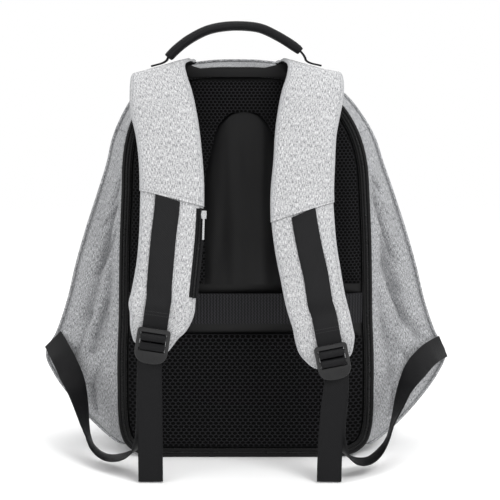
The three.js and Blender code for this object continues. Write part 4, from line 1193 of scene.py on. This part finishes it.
strap = {
    "steps": 9, "reach": 82.0, "width": 70.0, "thickness": 6.5, "lining": 1.6, "flap": 1.7,
    "flapRise": 0.35, "edge": 0.62, "rumple": 0.35, "ripple": 0.2, "edgeTintReach": 3.0,
    "stitchInset": 3.2, "flapSlant": 6, "padShare": 0.98, "padRoundness": 0.85,
    "edgeDrop": 0.8, "flank": 0.55, "flapOver": 0.9, "flapRoundness": 0.8, "flapDroop": 2.4,
    "droopFrom": 0.93, "droopReach": 0.07,
}
strapColumns = "height away middle width tilt plump web"
strapTables = {
    "left": namedRows(strapColumns, [
        [0.985, -0.24, -0.6, 1, 0.34, 0.35, -0.6],
        [0.983, -0.06, -0.605, 0.98, 0.34, 0.4, -0.605],
        [0.987, 0.11, -0.62, 0.93, 0.32, 0.5, -0.62],
        [0.982, 0.26, -0.64, 0.86, 0.29, 0.6, -0.64],
        [0.957, 0.355, -0.635, 0.9, 0.22, 0.8, -0.635],
        [0.93, 0.41, -0.622, 0.96, 0.14, 0.95, -0.622],
        [0.9, 0.455, -0.608, 0.99, 0.05, 1, -0.6],
        [0.85, 0.54, -0.575, 0.97, 0, 1, -0.57],
        [0.79, 0.65, -0.55, 0.96, 0, 1, -0.56],
        [0.73, 0.73, -0.537, 0.97, 0, 1, -0.558],
        [0.66, 0.825, -0.537, 0.98, 0, 1, -0.57],
        [0.6, 0.89, -0.545, 0.97, 0, 1, -0.592],
        [0.53, 0.95, -0.565, 0.965, -0.03, 1, -0.612],
        [0.46, 0.995, -0.595, 1, -0.06, 1, -0.63],
        [0.43, 1, -0.611, 1.03, -0.1, 1, -0.64],
        [0.405, 1, -0.629, 0.965, -0.15, 1, -0.65],
        [0.3736, 1, -0.66, 0.8, -0.2, 1, -0.66],
        [0.336, 1, -0.684, 0.567, -0.2, 0.9, -0.67],
        [0.3244, 1, -0.696, 0.353, -0.2, 0.7, -0.67],
    ]),
    "right": namedRows(strapColumns, [
        [0.983, -0.24, 0.45, 0.98, -0.34, 0.35, 0.45],
        [0.981, -0.06, 0.46, 0.97, -0.34, 0.4, 0.46],
        [0.987, 0.11, 0.485, 0.92, -0.3, 0.5, 0.485],
        [0.982, 0.26, 0.51, 0.86, -0.25, 0.6, 0.51],
        [0.957, 0.355, 0.51, 0.9, -0.18, 0.8, 0.51],
        [0.93, 0.41, 0.495, 0.94, -0.11, 0.95, 0.495],
        [0.9, 0.455, 0.475, 0.945, -0.04, 1, 0.475],
        [0.84, 0.56, 0.444, 0.93, 0, 1, 0.444],
        [0.77, 0.68, 0.43, 0.93, 0, 1, 0.425],
        [0.7, 0.77, 0.416, 0.955, 0, 1, 0.41],
        [0.636, 0.86, 0.42, 0.97, 0, 1, 0.43],
        [0.57, 0.925, 0.442, 0.955, 0.03, 1, 0.468],
        [0.51, 0.96, 0.475, 0.94, 0.07, 1, 0.51],
        [0.45, 1, 0.51, 0.93, 0.1, 1, 0.54],
        [0.397, 1, 0.555, 0.915, 0.18, 1, 0.57],
        [0.366, 1, 0.575, 0.92, 0.2, 1, 0.585],
        [0.339, 1, 0.596, 0.9, 0.22, 1, 0.6],
        [0.314, 1, 0.62, 0.765, 0.22, 0.95, 0.61],
        [0.297, 1, 0.637, 0.61, 0.24, 0.85, 0.61],
        [0.29, 1, 0.645, 0.4, 0.24, 0.7, 0.61],
    ]),
}
flapEnds = {
    "left": {"height": 0.686, "tilt": -0.247},
    "right": {"height": 0.654, "tilt": 0.282},
}
padLow = strap["lining"] + bag["gap"]
foldRows = 5 * strap["steps"]


def strapStation(row):
    return {
        "at": Vector((row["middle"] * bag["halfPanel"], -row["away"] * strap["reach"],
                      row["height"] * bag["height"])),
        "across": Vector((1, 0, row["tilt"])),
        "half": row["width"] * strap["width"] / 2,
        "plump": row["plump"],
        "webOff": (row["web"] - row["middle"]) * bag["halfPanel"],
    }


def rowAt(table, height):
    i = next(k for k, row in enumerate(table) if k > foldRows and row["height"] < height)
    a, b = table[i - 1], table[i]
    share = (a["height"] - height) / (a["height"] - b["height"])
    return {key: mix(a[key], b[key], share) for key in a}


# How high the padding stands over the strap's underside, crowned between its edges.
def padTop(station, side=0.0):
    t = min(abs(side) / station["half"], 1.0)
    crown = strap["edge"] + (1 - strap["edge"]) * (1 - t ** 2.6)
    return padLow + strap["thickness"] * station["plump"] * crown


def ripple(station, side):
    spot = onFrame(station, side, 0)
    return strap["rumple"] * noise.noise(spot / 22) + strap["ripple"] * noise.noise(spot / 9)


def padSection(station):
    half = station["half"]
    section = []
    for k in range(29):
        t = 1 - k / 14
        side = half * strap["padShare"] * squared(t, strap["padRoundness"])
        fade = 1 - abs(t) ** 6
        section.append((side, padTop(station, side) + ripple(station, side) * fade
                        - strap["edgeDrop"] * abs(t) ** 14))
    flank = mix(padLow, padTop(station, half), strap["flank"])
    return section + [(-half, flank), (0.5 - half, padLow), (0, padLow), (half - 0.5, padLow),
                      (half, flank)]


def flapSection(station):
    half = station["half"]
    top, under = [], []
    for k in range(33):
        t = 1 - k / 16
        side = (half + strap["flapOver"]) * squared(t, strap["flapRoundness"])
        droop = strap["flapDroop"] * max(abs(t) - strap["droopFrom"], 0) / strap["droopReach"]
        height = (padTop(station, side) + strap["flapRise"]
                  + ripple(station, side) * (1 - t ** 6) - droop)
        top.append((side, height + strap["flap"]))
        under.append((side * 0.985, height + 0.25))
    return top + under[::-1]


# A grey piece of a strap, with its edges worn.
def greySweep(name, stations, sectionOf, node):
    wear = [math.exp(-((s["half"] - abs(off)) / strap["edgeTintReach"]) ** 2)
            for s in stations for off, _ in sectionOf(s)]
    return sweep(name, stations, sectionOf, strapCloth, stands=[node], slot="grey_cloth",
                 wear=wear, sharpFrom=70)


def makeStrap(side):
    table = smoothRows(strapTables[side], strap["steps"])
    stations = framed([strapStation(row) for row in table])
    sweep(f"strapLining{side.title()}", stations,
          lambda s: flatSection(s["half"] + 0.4, 0, strap["lining"], 0.7),
          liningMesh, stands=[f"strap_lining_{side}"], slot="black_mesh")
    padding = greySweep(f"strapPad{side.title()}", stations, padSection, f"strap_pad_{side}")

    end = flapEnds[side]
    coveredTo = end["height"] + abs(end["tilt"]) * strap["width"] / bag["height"]
    covered = [row for i, row in enumerate(table) if i < foldRows or row["height"] > coveredTo]
    blends = [(k + 1) / strap["flapSlant"] for k in range(strap["flapSlant"])]
    slanting = [rowAt(table, mix(covered[-1]["height"], end["height"], b)) for b in blends]
    flapStations = framed([strapStation(row) for row in covered + slanting])
    for b, station in zip(blends, flapStations[-strap["flapSlant"]:]):
        station["across"] = station["across"] - station["along"] * end["tilt"] * b
    greySweep(f"strapFlap{side.title()}", flapStations, flapSection, f"strap_flap_{side}")

    def sewn(places, lift):
        return [onFrame(s, off, padTop(s, off) + ripple(s, off) + lift) for s, off in places]

    def beside(run, sign):
        return [(s, sign * (s["half"] - strap["stitchInset"])) for s in run]

    onFlap = strap["flapRise"] + strap["flap"] + 0.05
    hung = flapStations[strap["steps"] * 3:-1]
    hem = flapStations[-2]
    hemPlaces = [(hem, hem["half"] * (k / 10 - 1) * 0.97) for k in range(21)]
    bare = [s for i, s in enumerate(stations)
            if i > foldRows and s["at"].z < (end["height"] - 0.03) * bag["height"]][:-4]
    lines = [sewn(beside(hung, -1), onFlap), sewn(beside(hung, 1), onFlap),
             sewn(hemPlaces, onFlap), sewn(beside(bare, -1), 0.1), sewn(beside(bare, 1), 0.1)]
    bodiesAlong(f"strapStitches{side.title()}", [(line, False) for line in lines], stitchLook,
                greyThread)
    return {"table": table, "flap": flapStations}


straps = {side: makeStrap(side) for side in ("left", "right")}
print("straps made")


# Ladder buckles and the webbing through them

buckle = {
    "width": 36.0, "thickness": 3.0, "rail": 3.6, "corner": 4.0, "topBar": 5.0, "bar": 4.4,
    "slot": 2.8, "tabLength": 13.5, "clearance": 0.6, "tabLift": 2.6, "roundEdge": 0.9,
    "crown": 0.3, "longestEdge": 4.0,
}
web = {"width": 27.0, "thickness": 1.4, "corner": 0.55, "turn": 0.7, "tail": 20.0,
       "lift": 1.6, "tackRows": (-17.5, -14.0), "tackReach": 11.5, "tackRise": 0.75}
bucklePlaces = {
    "left": {"middle": -0.659, "height": 0.3833, "tilt": -0.15},
    "right": {"middle": 0.615, "height": 0.3444, "tilt": 0.2},
}
padFace = -strap["reach"] - padLow - strap["thickness"]
firstWeb = bag["gap"] + web["thickness"] / 2
webStep = web["thickness"] + 2 * bag["gap"]
secondWeb = firstWeb + webStep
buckleLow = 2 * webStep + buckle["clearance"]
buckleHigh = buckleLow + buckle["thickness"]
overBar = buckleHigh + buckle["clearance"] + web["thickness"] / 2
barOneStart = buckle["topBar"] + buckle["slot"]
barOneEnd = barOneStart + buckle["bar"]
barTwoStart = barOneEnd + 2 * buckle["slot"]
barTwoEnd = barTwoStart + buckle["bar"]
tabStart = barTwoEnd + buckle["slot"]
buckleLength = tabStart + buckle["tabLength"]
passOne = buckle["topBar"] + buckle["slot"] / 2
passTwo = barOneEnd + buckle["slot"] / 2
passThree = barTwoStart - buckle["slot"] / 2
passFour = barTwoEnd + buckle["slot"] / 2


def buckleFrame(side):
    spot = bucklePlaces[side]
    across = Vector((1, 0, spot["tilt"])).normalized()
    return {
        "origin": Vector((spot["middle"] * bag["halfPanel"], padFace,
                          spot["height"] * bag["height"])),
        "across": across, "down": Vector((across.z, 0, -across.x)), "out": Vector((0, -1, 0)),
    }


def inFrame(held, u, v, n):
    return held["origin"] + held["across"] * u + held["down"] * v + held["out"] * n


# The plate's outline and its slots, across the buckle and down it.
def plateLoops():
    half, r = buckle["width"] / 2, buckle["corner"]
    outer = []
    for sign, start in ((1, 0), (-1, math.pi / 2)):
        for turn in (start + k * math.pi / 12 for k in range(7)):
            outer.append((sign * (half - r) + r * math.cos(turn), -r + r * math.sin(turn)))
    for turn in (math.pi * (1 + k / 16) for k in range(17)):
        outer.append((half * squared(math.cos(turn), 0.75),
                      -tabStart - buckle["tabLength"] * abs(math.sin(turn)) ** 0.85))
    slotHalf = half - buckle["rail"]
    loops = [outer]
    for top, bottom in ((buckle["topBar"], barOneStart), (barOneEnd, barTwoStart),
                        (barTwoEnd, tabStart)):
        loops.append([(-slotHalf, -top), (-slotHalf, -bottom), (slotHalf, -bottom),
                      (slotHalf, -top)])
    return loops


def plateMesh():
    edge = buckle["roundEdge"]
    plate = bpy.data.curves.new("plate", "CURVE")
    plate.dimensions = "2D"
    plate.fill_mode = "BOTH"
    plate.extrude = (buckle["thickness"] / 2 - edge) / 1000
    plate.bevel_depth = edge / 1000
    plate.bevel_resolution = 3
    plate.offset = -edge / 1000
    for loop in plateLoops():
        spline = plate.splines.new("POLY")
        spline.points.add(len(loop) - 1)
        for point, (x, y) in zip(spline.points, loop):
            point.co = (x / 1000, y / 1000, 0, 1)
        spline.use_cyclic_u = True
    shape = linked("plate", plate)
    mesh = evaluatedMesh(shape)
    bpy.data.objects.remove(shape)
    return mesh


def makeBuckle(side):
    half, held = buckle["width"] / 2, buckleFrame(side)
    mesh = plateMesh()
    solid = bmesh.new()
    solid.from_mesh(mesh)
    bmesh.ops.remove_doubles(solid, verts=solid.verts, dist=1e-6)
    bmesh.ops.triangulate(solid, faces=solid.faces)
    longest = buckle["longestEdge"] / 1000
    bmesh.ops.subdivide_edges(solid, edges=[e for e in solid.edges if e.calc_length() > longest],
                              cuts=3, use_grid_fill=False)
    bmesh.ops.triangulate(solid, faces=solid.faces)
    for vertex in solid.verts:
        u, v, n = vertex.co.x * 1000, -vertex.co.y * 1000, vertex.co.z * 1000
        lift = max(v - tabStart, 0) / buckle["tabLength"]
        crown = buckle["crown"] * (1 - (u / half) ** 2)
        n += buckleLow + buckle["thickness"] / 2 + buckle["tabLift"] * lift ** 1.5 + crown
        vertex.co = place(inFrame(held, u, v, n))
    bmesh.ops.recalc_face_normals(solid, faces=solid.faces)
    finishMesh(solid, mesh, 40)
    mesh.name = f"ladderBuckle{side.title()}"
    addPiece(mesh.name, mesh, plastic, [f"ladder_buckle_{side}"])


webTurn = web["thickness"] * web["turn"]


def overTheBar(passIn, passOut, highIn, highOut):
    cut = webTurn
    step = math.copysign(1, passOut - passIn)
    return [
        (passIn - step * cut, highIn), (passIn, highIn + cut), (passIn, overBar - cut),
        (passIn + step * cut, overBar), (passOut - step * cut, overBar),
        (passOut, overBar - cut), (passOut, highOut + cut),
    ]


def layWebbing(name, stations, node):
    half = web["thickness"] / 2
    sweep(name, stations, lambda s: flatSection(web["width"] / 2, -half, half, web["corner"]),
          webbingTwill, stands=[node], slot="black_webbing")


def makeStrapWebbing(side):
    table = straps[side]["table"]
    held = buckleFrame(side)
    end = flapEnds[side]
    lift = web["tail"] * web["lift"]
    first = rowAt(table, end["height"])
    startHeight = end["height"] + (end["tilt"] * (first["web"] - first["middle"])
                                   * bag["halfPanel"] - webStep * 0.4) / bag["height"]
    stopHeight = bucklePlaces[side]["height"] + (lift + web["tail"] / 2) / bag["height"]
    laid = [row for i, row in enumerate(table) if i > foldRows
            and stopHeight < row["height"] < startHeight - web["thickness"] / bag["height"]]
    under = framed([strapStation(row) for row in
                    [rowAt(table, startHeight), *laid, rowAt(table, stopHeight)]])
    upper = [{"at": onFrame(s, s["webOff"], padTop(s, s["webOff"]) + firstWeb),
              "across": s["across"]} for s in under]
    lower = [(-lift, firstWeb), (-web["tail"] * 1.1, secondWeb),
             *overTheBar(passOne, passTwo, secondWeb, firstWeb),
             (passTwo - webTurn, firstWeb), (-web["tail"], firstWeb)]
    path = upper + [{"at": inFrame(held, 0, v, n), "across": held["across"]} for v, n in lower]
    stations = framed(refined(path, 3))
    reach = 6
    for k in range(reach):
        stations[k]["across"] = stations[k]["across"] - stations[k]["along"] * end["tilt"] * (
            1 - k / reach)
    layWebbing(f"strapWebbing{side.title()}", stations, f"strap_webbing_{side}")
    tacks = [([inFrame(held, k - web["tackReach"], v, secondWeb + web["tackRise"])
               for k in range(24)], False) for v in web["tackRows"]]
    bodiesAlong(f"webbingTacks{side.title()}", tacks,
                {"spacing": 2.4, "length": 1.9, "width": 0.5, "height": 0.4}, blackThread)


loopColumns = "onX onY height acrossX acrossY acrossZ"
adjusterTables = {
    "left": namedRows(loopColumns, [
        [0, 0, 1, -0.77, 0.08, -0.64],
        [0.109, 0.18, 0.9, -0.86, -0.08, -0.5],
        [0.198, 0.29, 0.776, -0.91, -0.18, -0.38],
        [0.266, 0.37, 0.648, -0.81, -0.58, 0.04],
        [0.313, 0.43, 0.515, -0.6, -0.76, 0.25],
        [0.357, 0.5, 0.358, -0.33, -0.85, 0.41],
        [0.413, 0.57, 0.216, -0.22, -0.79, 0.58],
        [0.51, 0.66, 0.134, -0.57, -0.72, 0.4],
        [0.637, 0.75, 0.124, -0.67, -0.75, -0.04],
        [0.775, 0.85, 0.181, -0.57, -0.78, -0.26],
        [0.891, 0.94, 0.288, -0.54, -0.83, -0.15],
        [0.966, 0.985, 0.448, -0.83, -0.51, 0.22],
    ]),
    "right": namedRows(loopColumns, [
        [0, 0, 1, 0.49, 0, -0.87],
        [0.129, 0.17, 0.983, 0.61, -0.26, -0.75],
        [0.243, 0.29, 0.904, 0.77, -0.24, -0.6],
        [0.328, 0.37, 0.79, 0.77, -0.63, -0.08],
        [0.386, 0.42, 0.68, 0.57, -0.8, 0.19],
        [0.429, 0.47, 0.569, 0.42, -0.85, 0.32],
        [0.472, 0.52, 0.444, 0.27, -0.82, 0.51],
        [0.522, 0.6, 0.333, 0.19, -0.72, 0.67],
        [0.579, 0.68, 0.238, 0.35, -0.74, 0.58],
        [0.664, 0.76, 0.151, 0.56, -0.75, 0.36],
        [0.773, 0.84, 0.135, 0.64, -0.77, -0.07],
        [0.871, 0.91, 0.19, 0.47, -0.84, -0.27],
        [0.948, 0.96, 0.294, 0.46, -0.89, -0.08],
        [1.012, 0.99, 0.474, 0.82, -0.53, 0.23],
    ]),
}
wingEnds = {"left": {"row": 8.75, "turn": -1}, "right": {"row": 8.4, "turn": 1}}
tailEnds = {"left": -0.7, "right": 0.62}


def makeAdjuster(side):
    sewn = wingEnds[side]
    held = buckleFrame(side)
    turn = sewn["turn"]
    seam = loopStations(turn * sewn["row"], len(loopRows))[1]
    start = seam + Vector((turn * web["thickness"], -4 * web["thickness"], 0))
    end = inFrame(held, 0, buckleLength + webStep, firstWeb)
    loop = []
    for spot in smoothRows(adjusterTables[side], 2):
        loop.append({
            "at": Vector((mix(start.x, end.x, spot["onX"]), mix(start.y, end.y, spot["onY"]),
                          spot["height"] * start.z)),
            "across": Vector((spot["acrossX"], spot["acrossY"], spot["acrossZ"])).normalized(),
        })
    ends = held["across"] * turn
    inBuckle = [
        (buckleLength + webStep, firstWeb), (passThree + web["thickness"], firstWeb),
        *overTheBar(passThree, passFour, firstWeb, secondWeb),
        (passFour + webTurn, secondWeb), (buckleLength + webStep, secondWeb),
    ]
    through = [{"at": inFrame(held, 0, v, n), "across": ends} for v, n in inBuckle]
    leave = through[-1]["at"]
    tail = []
    for i, share in enumerate((0.75, 0.45, 0.2, 0)):
        tail.append({
            "at": Vector((mix(tailEnds[side] * bag["halfPanel"], leave.x, share * share),
                          leave.y - webStep * math.sin((i + 1) / 4 * math.pi / 2),
                          mix(web["thickness"], leave.z, share))),
            "across": Vector((turn, 0, 0)),
        })
    stations = framed(refined(loop + through + tail, 4))
    layWebbing(f"adjusterWebbing{side.title()}", stations, f"adjuster_webbing_{side}")


for side in ("left", "right"):
    makeStrapWebbing(side)
    makeBuckle(side)
    makeAdjuster(side)
print("webbing and buckles made")


# The zip of the hidden pocket on the left strap

strapZip = {
    "top": 0.664, "foot": 0.464, "tape": 9.5, "thickness": 1.1, "overhang": 2.0, "ribs": 2.4,
    "relief": 0.35,
}


def makeStrapZip():
    table = straps["left"]["table"]
    kept = [row for i, row in enumerate(table)
            if i > foldRows and strapZip["foot"] < row["height"] < strapZip["top"]]
    stations = framed([strapStation(row) for row in
                       [rowAt(table, strapZip["top"]), *kept, rowAt(table, strapZip["foot"])]])
    width, out = strapZip["tape"], strapZip["overhang"]

    def section(s):
        right = s["half"] + out
        low = padTop(s, s["half"] + out - width / 2) + 0.15
        points = []
        for k in range(20):
            off = right - width * k / 19
            rib = strapZip["relief"] * math.cos(2 * math.pi * (off - right) / strapZip["ribs"])
            points.append((off, low + strapZip["thickness"] + rib * (0 < k < 19)))
        return points + [(right - width, low), (right, low)]

    sweep("strapZipTape", stations, section, webbingTwill, stands=["strap_zip_tape"],
          slot="black_webbing")
    line = [onFrame(s, s["half"] + out - width / 2, padTop(s, s["half"] - width / 2) + 1.55)
            for s in stations]
    bodiesAlong("strapZipCoil", [(line, False)],
                {"spacing": 1.4, "length": 1.0, "width": 3.0, "height": 1.1}, coil,
                facing=tuple(stations[len(stations) // 2]["normal"]))


makeStrapZip()
for node in ("strap_zip_slider", "strap_zip_pull"):
    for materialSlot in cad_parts[node].material_slots:
        materialSlot.material = nickel


# Carry handle

handle = {
    "span": 154.0, "rise": 38.5, "gripThickness": 10.5, "gripDepth": 27.0, "webDepth": 20.0,
    "webThickness": 2.0, "tab": 17.0, "clearance": 1.05, "gripClearance": 0.4,
    "gripFrom": -0.492, "gripTo": 0.465, "gripSides": 40, "sideWidth": 1.7, "overPad": 2.4,
    "gripRoundness": 0.6, "slotRoundness": 0.05, "ridge": 0.7, "ridgeReach": 0.03,
    "ridgeInset": 0.4, "tipShare": 0.8, "tipSteps": 4, "puff": 0.02, "puffSpan": 9,
    "stitchInset": 3.0,
}
handleArch = namedRows("along up", [
    [-0.5, 0.04], [-0.492, 0.1], [-0.476, 0.17], [-0.441, 0.31], [-0.384, 0.5],
    [-0.327, 0.655], [-0.214, 0.88], [-0.1, 0.985], [0.036, 1.01], [0.171, 0.945],
    [0.285, 0.745], [0.398, 0.475], [0.46, 0.29], [0.482, 0.19], [0.495, 0.1], [0.5, 0.04],
])


def onRoot(side, x, depth):
    heights = []
    for s in straps[side]["flap"][:foldRows]:
        if abs(s["at"].y - depth) < handle["webDepth"] * 0.8:
            top = padLow + strap["thickness"] * s["plump"] + handle["overPad"]
            spot = onFrame(s, 0, top)
            heights.append(spot.z + (x - spot.x) * s["across"].z / s["across"].x)
    return Vector((x, depth, max(heights) + handle["clearance"] + handle["webThickness"] / 2))


def makeHandle():
    roots = [straps[side]["flap"][2 * strap["steps"]]["at"] for side in ("left", "right")]
    middle, depth = (roots[0].x + roots[1].x) / 2, roots[0].y
    fromX, toX = middle - handle["span"] / 2, middle + handle["span"] / 2
    foot = max(onRoot("left", fromX, depth).z, onRoot("right", toX, depth).z)
    arch = [Vector((middle + p["along"] * handle["span"], depth, foot + p["up"] * handle["rise"]))
            for p in handleArch]
    thick = handle["webThickness"]
    path = [onRoot("left", fromX - handle["tab"], depth), onRoot("left", fromX - 2 * thick, depth),
            *arch, onRoot("right", toX + 2 * thick, depth),
            onRoot("right", toX + handle["tab"], depth)]
    stations = framed(refined([{"at": p, "across": Vector((0, 1, 0))} for p in path], 5))
    sweep("handleWebbing", stations,
          lambda s: flatSection(handle["webDepth"] / 2, -thick / 2, thick / 2, 0.8),
          webbingTwill, stands=["handle_webbing"], slot="black_webbing")
    low = middle + handle["gripFrom"] * handle["span"]
    high = middle + handle["gripTo"] * handle["span"]
    first = next(i for i, s in enumerate(stations) if s["at"].z > foot and s["at"].x >= low)
    makeGrip([s for s in stations[first:] if s["at"].x <= high and s["at"].z > foot])


# The padded grip, a sleeve around the webbing, on the stations that it covers.
def makeGrip(held):
    outer, inner = [], []
    halfDepth, halfHeight = handle["gripDepth"] / 2, handle["gripThickness"] / 2
    slotDepth = handle["webDepth"] / 2 + handle["gripClearance"]
    slotHeight = handle["webThickness"] / 2 + handle["gripClearance"]
    sides, count = handle["gripSides"], len(held)
    for k in range(sides):
        angle = (k + 0.5) * 2 * math.pi / sides
        c, d = math.cos(angle), math.sin(angle)
        ridge = handle["ridge"] * math.exp(-((abs(c) - 1) / handle["ridgeReach"]) ** 2)
        side = (halfDepth - handle["ridgeInset"] + ridge) * squared(c, handle["gripRoundness"])
        up = halfHeight * squared(d, handle["gripRoundness"])
        inside = (slotDepth * squared(c, handle["slotRoundness"]),
                  slotHeight * squared(d, handle["slotRoundness"]))
        for i, s in enumerate(held):
            fromTip = min(min(i, count - 1 - i) / handle["tipSteps"], 1)
            size = mix(handle["tipShare"], 1, fromTip ** 0.5)
            size *= 1 + handle["puff"] * noise.noise(s["at"] / handle["puffSpan"])
            outer.append(onFrame(s, side * size, up * size))
            inner.append(onFrame(s, *inside))
    faces = wallFaces(sides, count, True, False)
    arc = [0.0]
    for a, b in zip(held, held[1:]):
        arc.append(arc[-1] + (b["at"] - a["at"]).length)
    maps = []
    for face in faces:
        around = [(i // count) % sides for i in face]
        if max(around) - min(around) > sides / 2:
            around = [a + sides if a < sides / 2 else a for a in around]
        maps.append([(a * handle["sideWidth"], arc[i % count]) for a, i in zip(around, face)])
    grip = makePiece("handleGripSleeve", outer + inner, faces, webbingTwill, ["handle_grip"],
                     "black_cloth", maps)
    aside = halfDepth - handle["stitchInset"]
    lines = [([onFrame(s, sign * aside, halfHeight * 0.86) for s in held[2:-2]], False)
             for sign in (-1, 1)]
    bodiesAlong("handleStitches", lines, {**stitchLook, "spacing": 3.2}, blackThread)


makeHandle()
print("handle made")
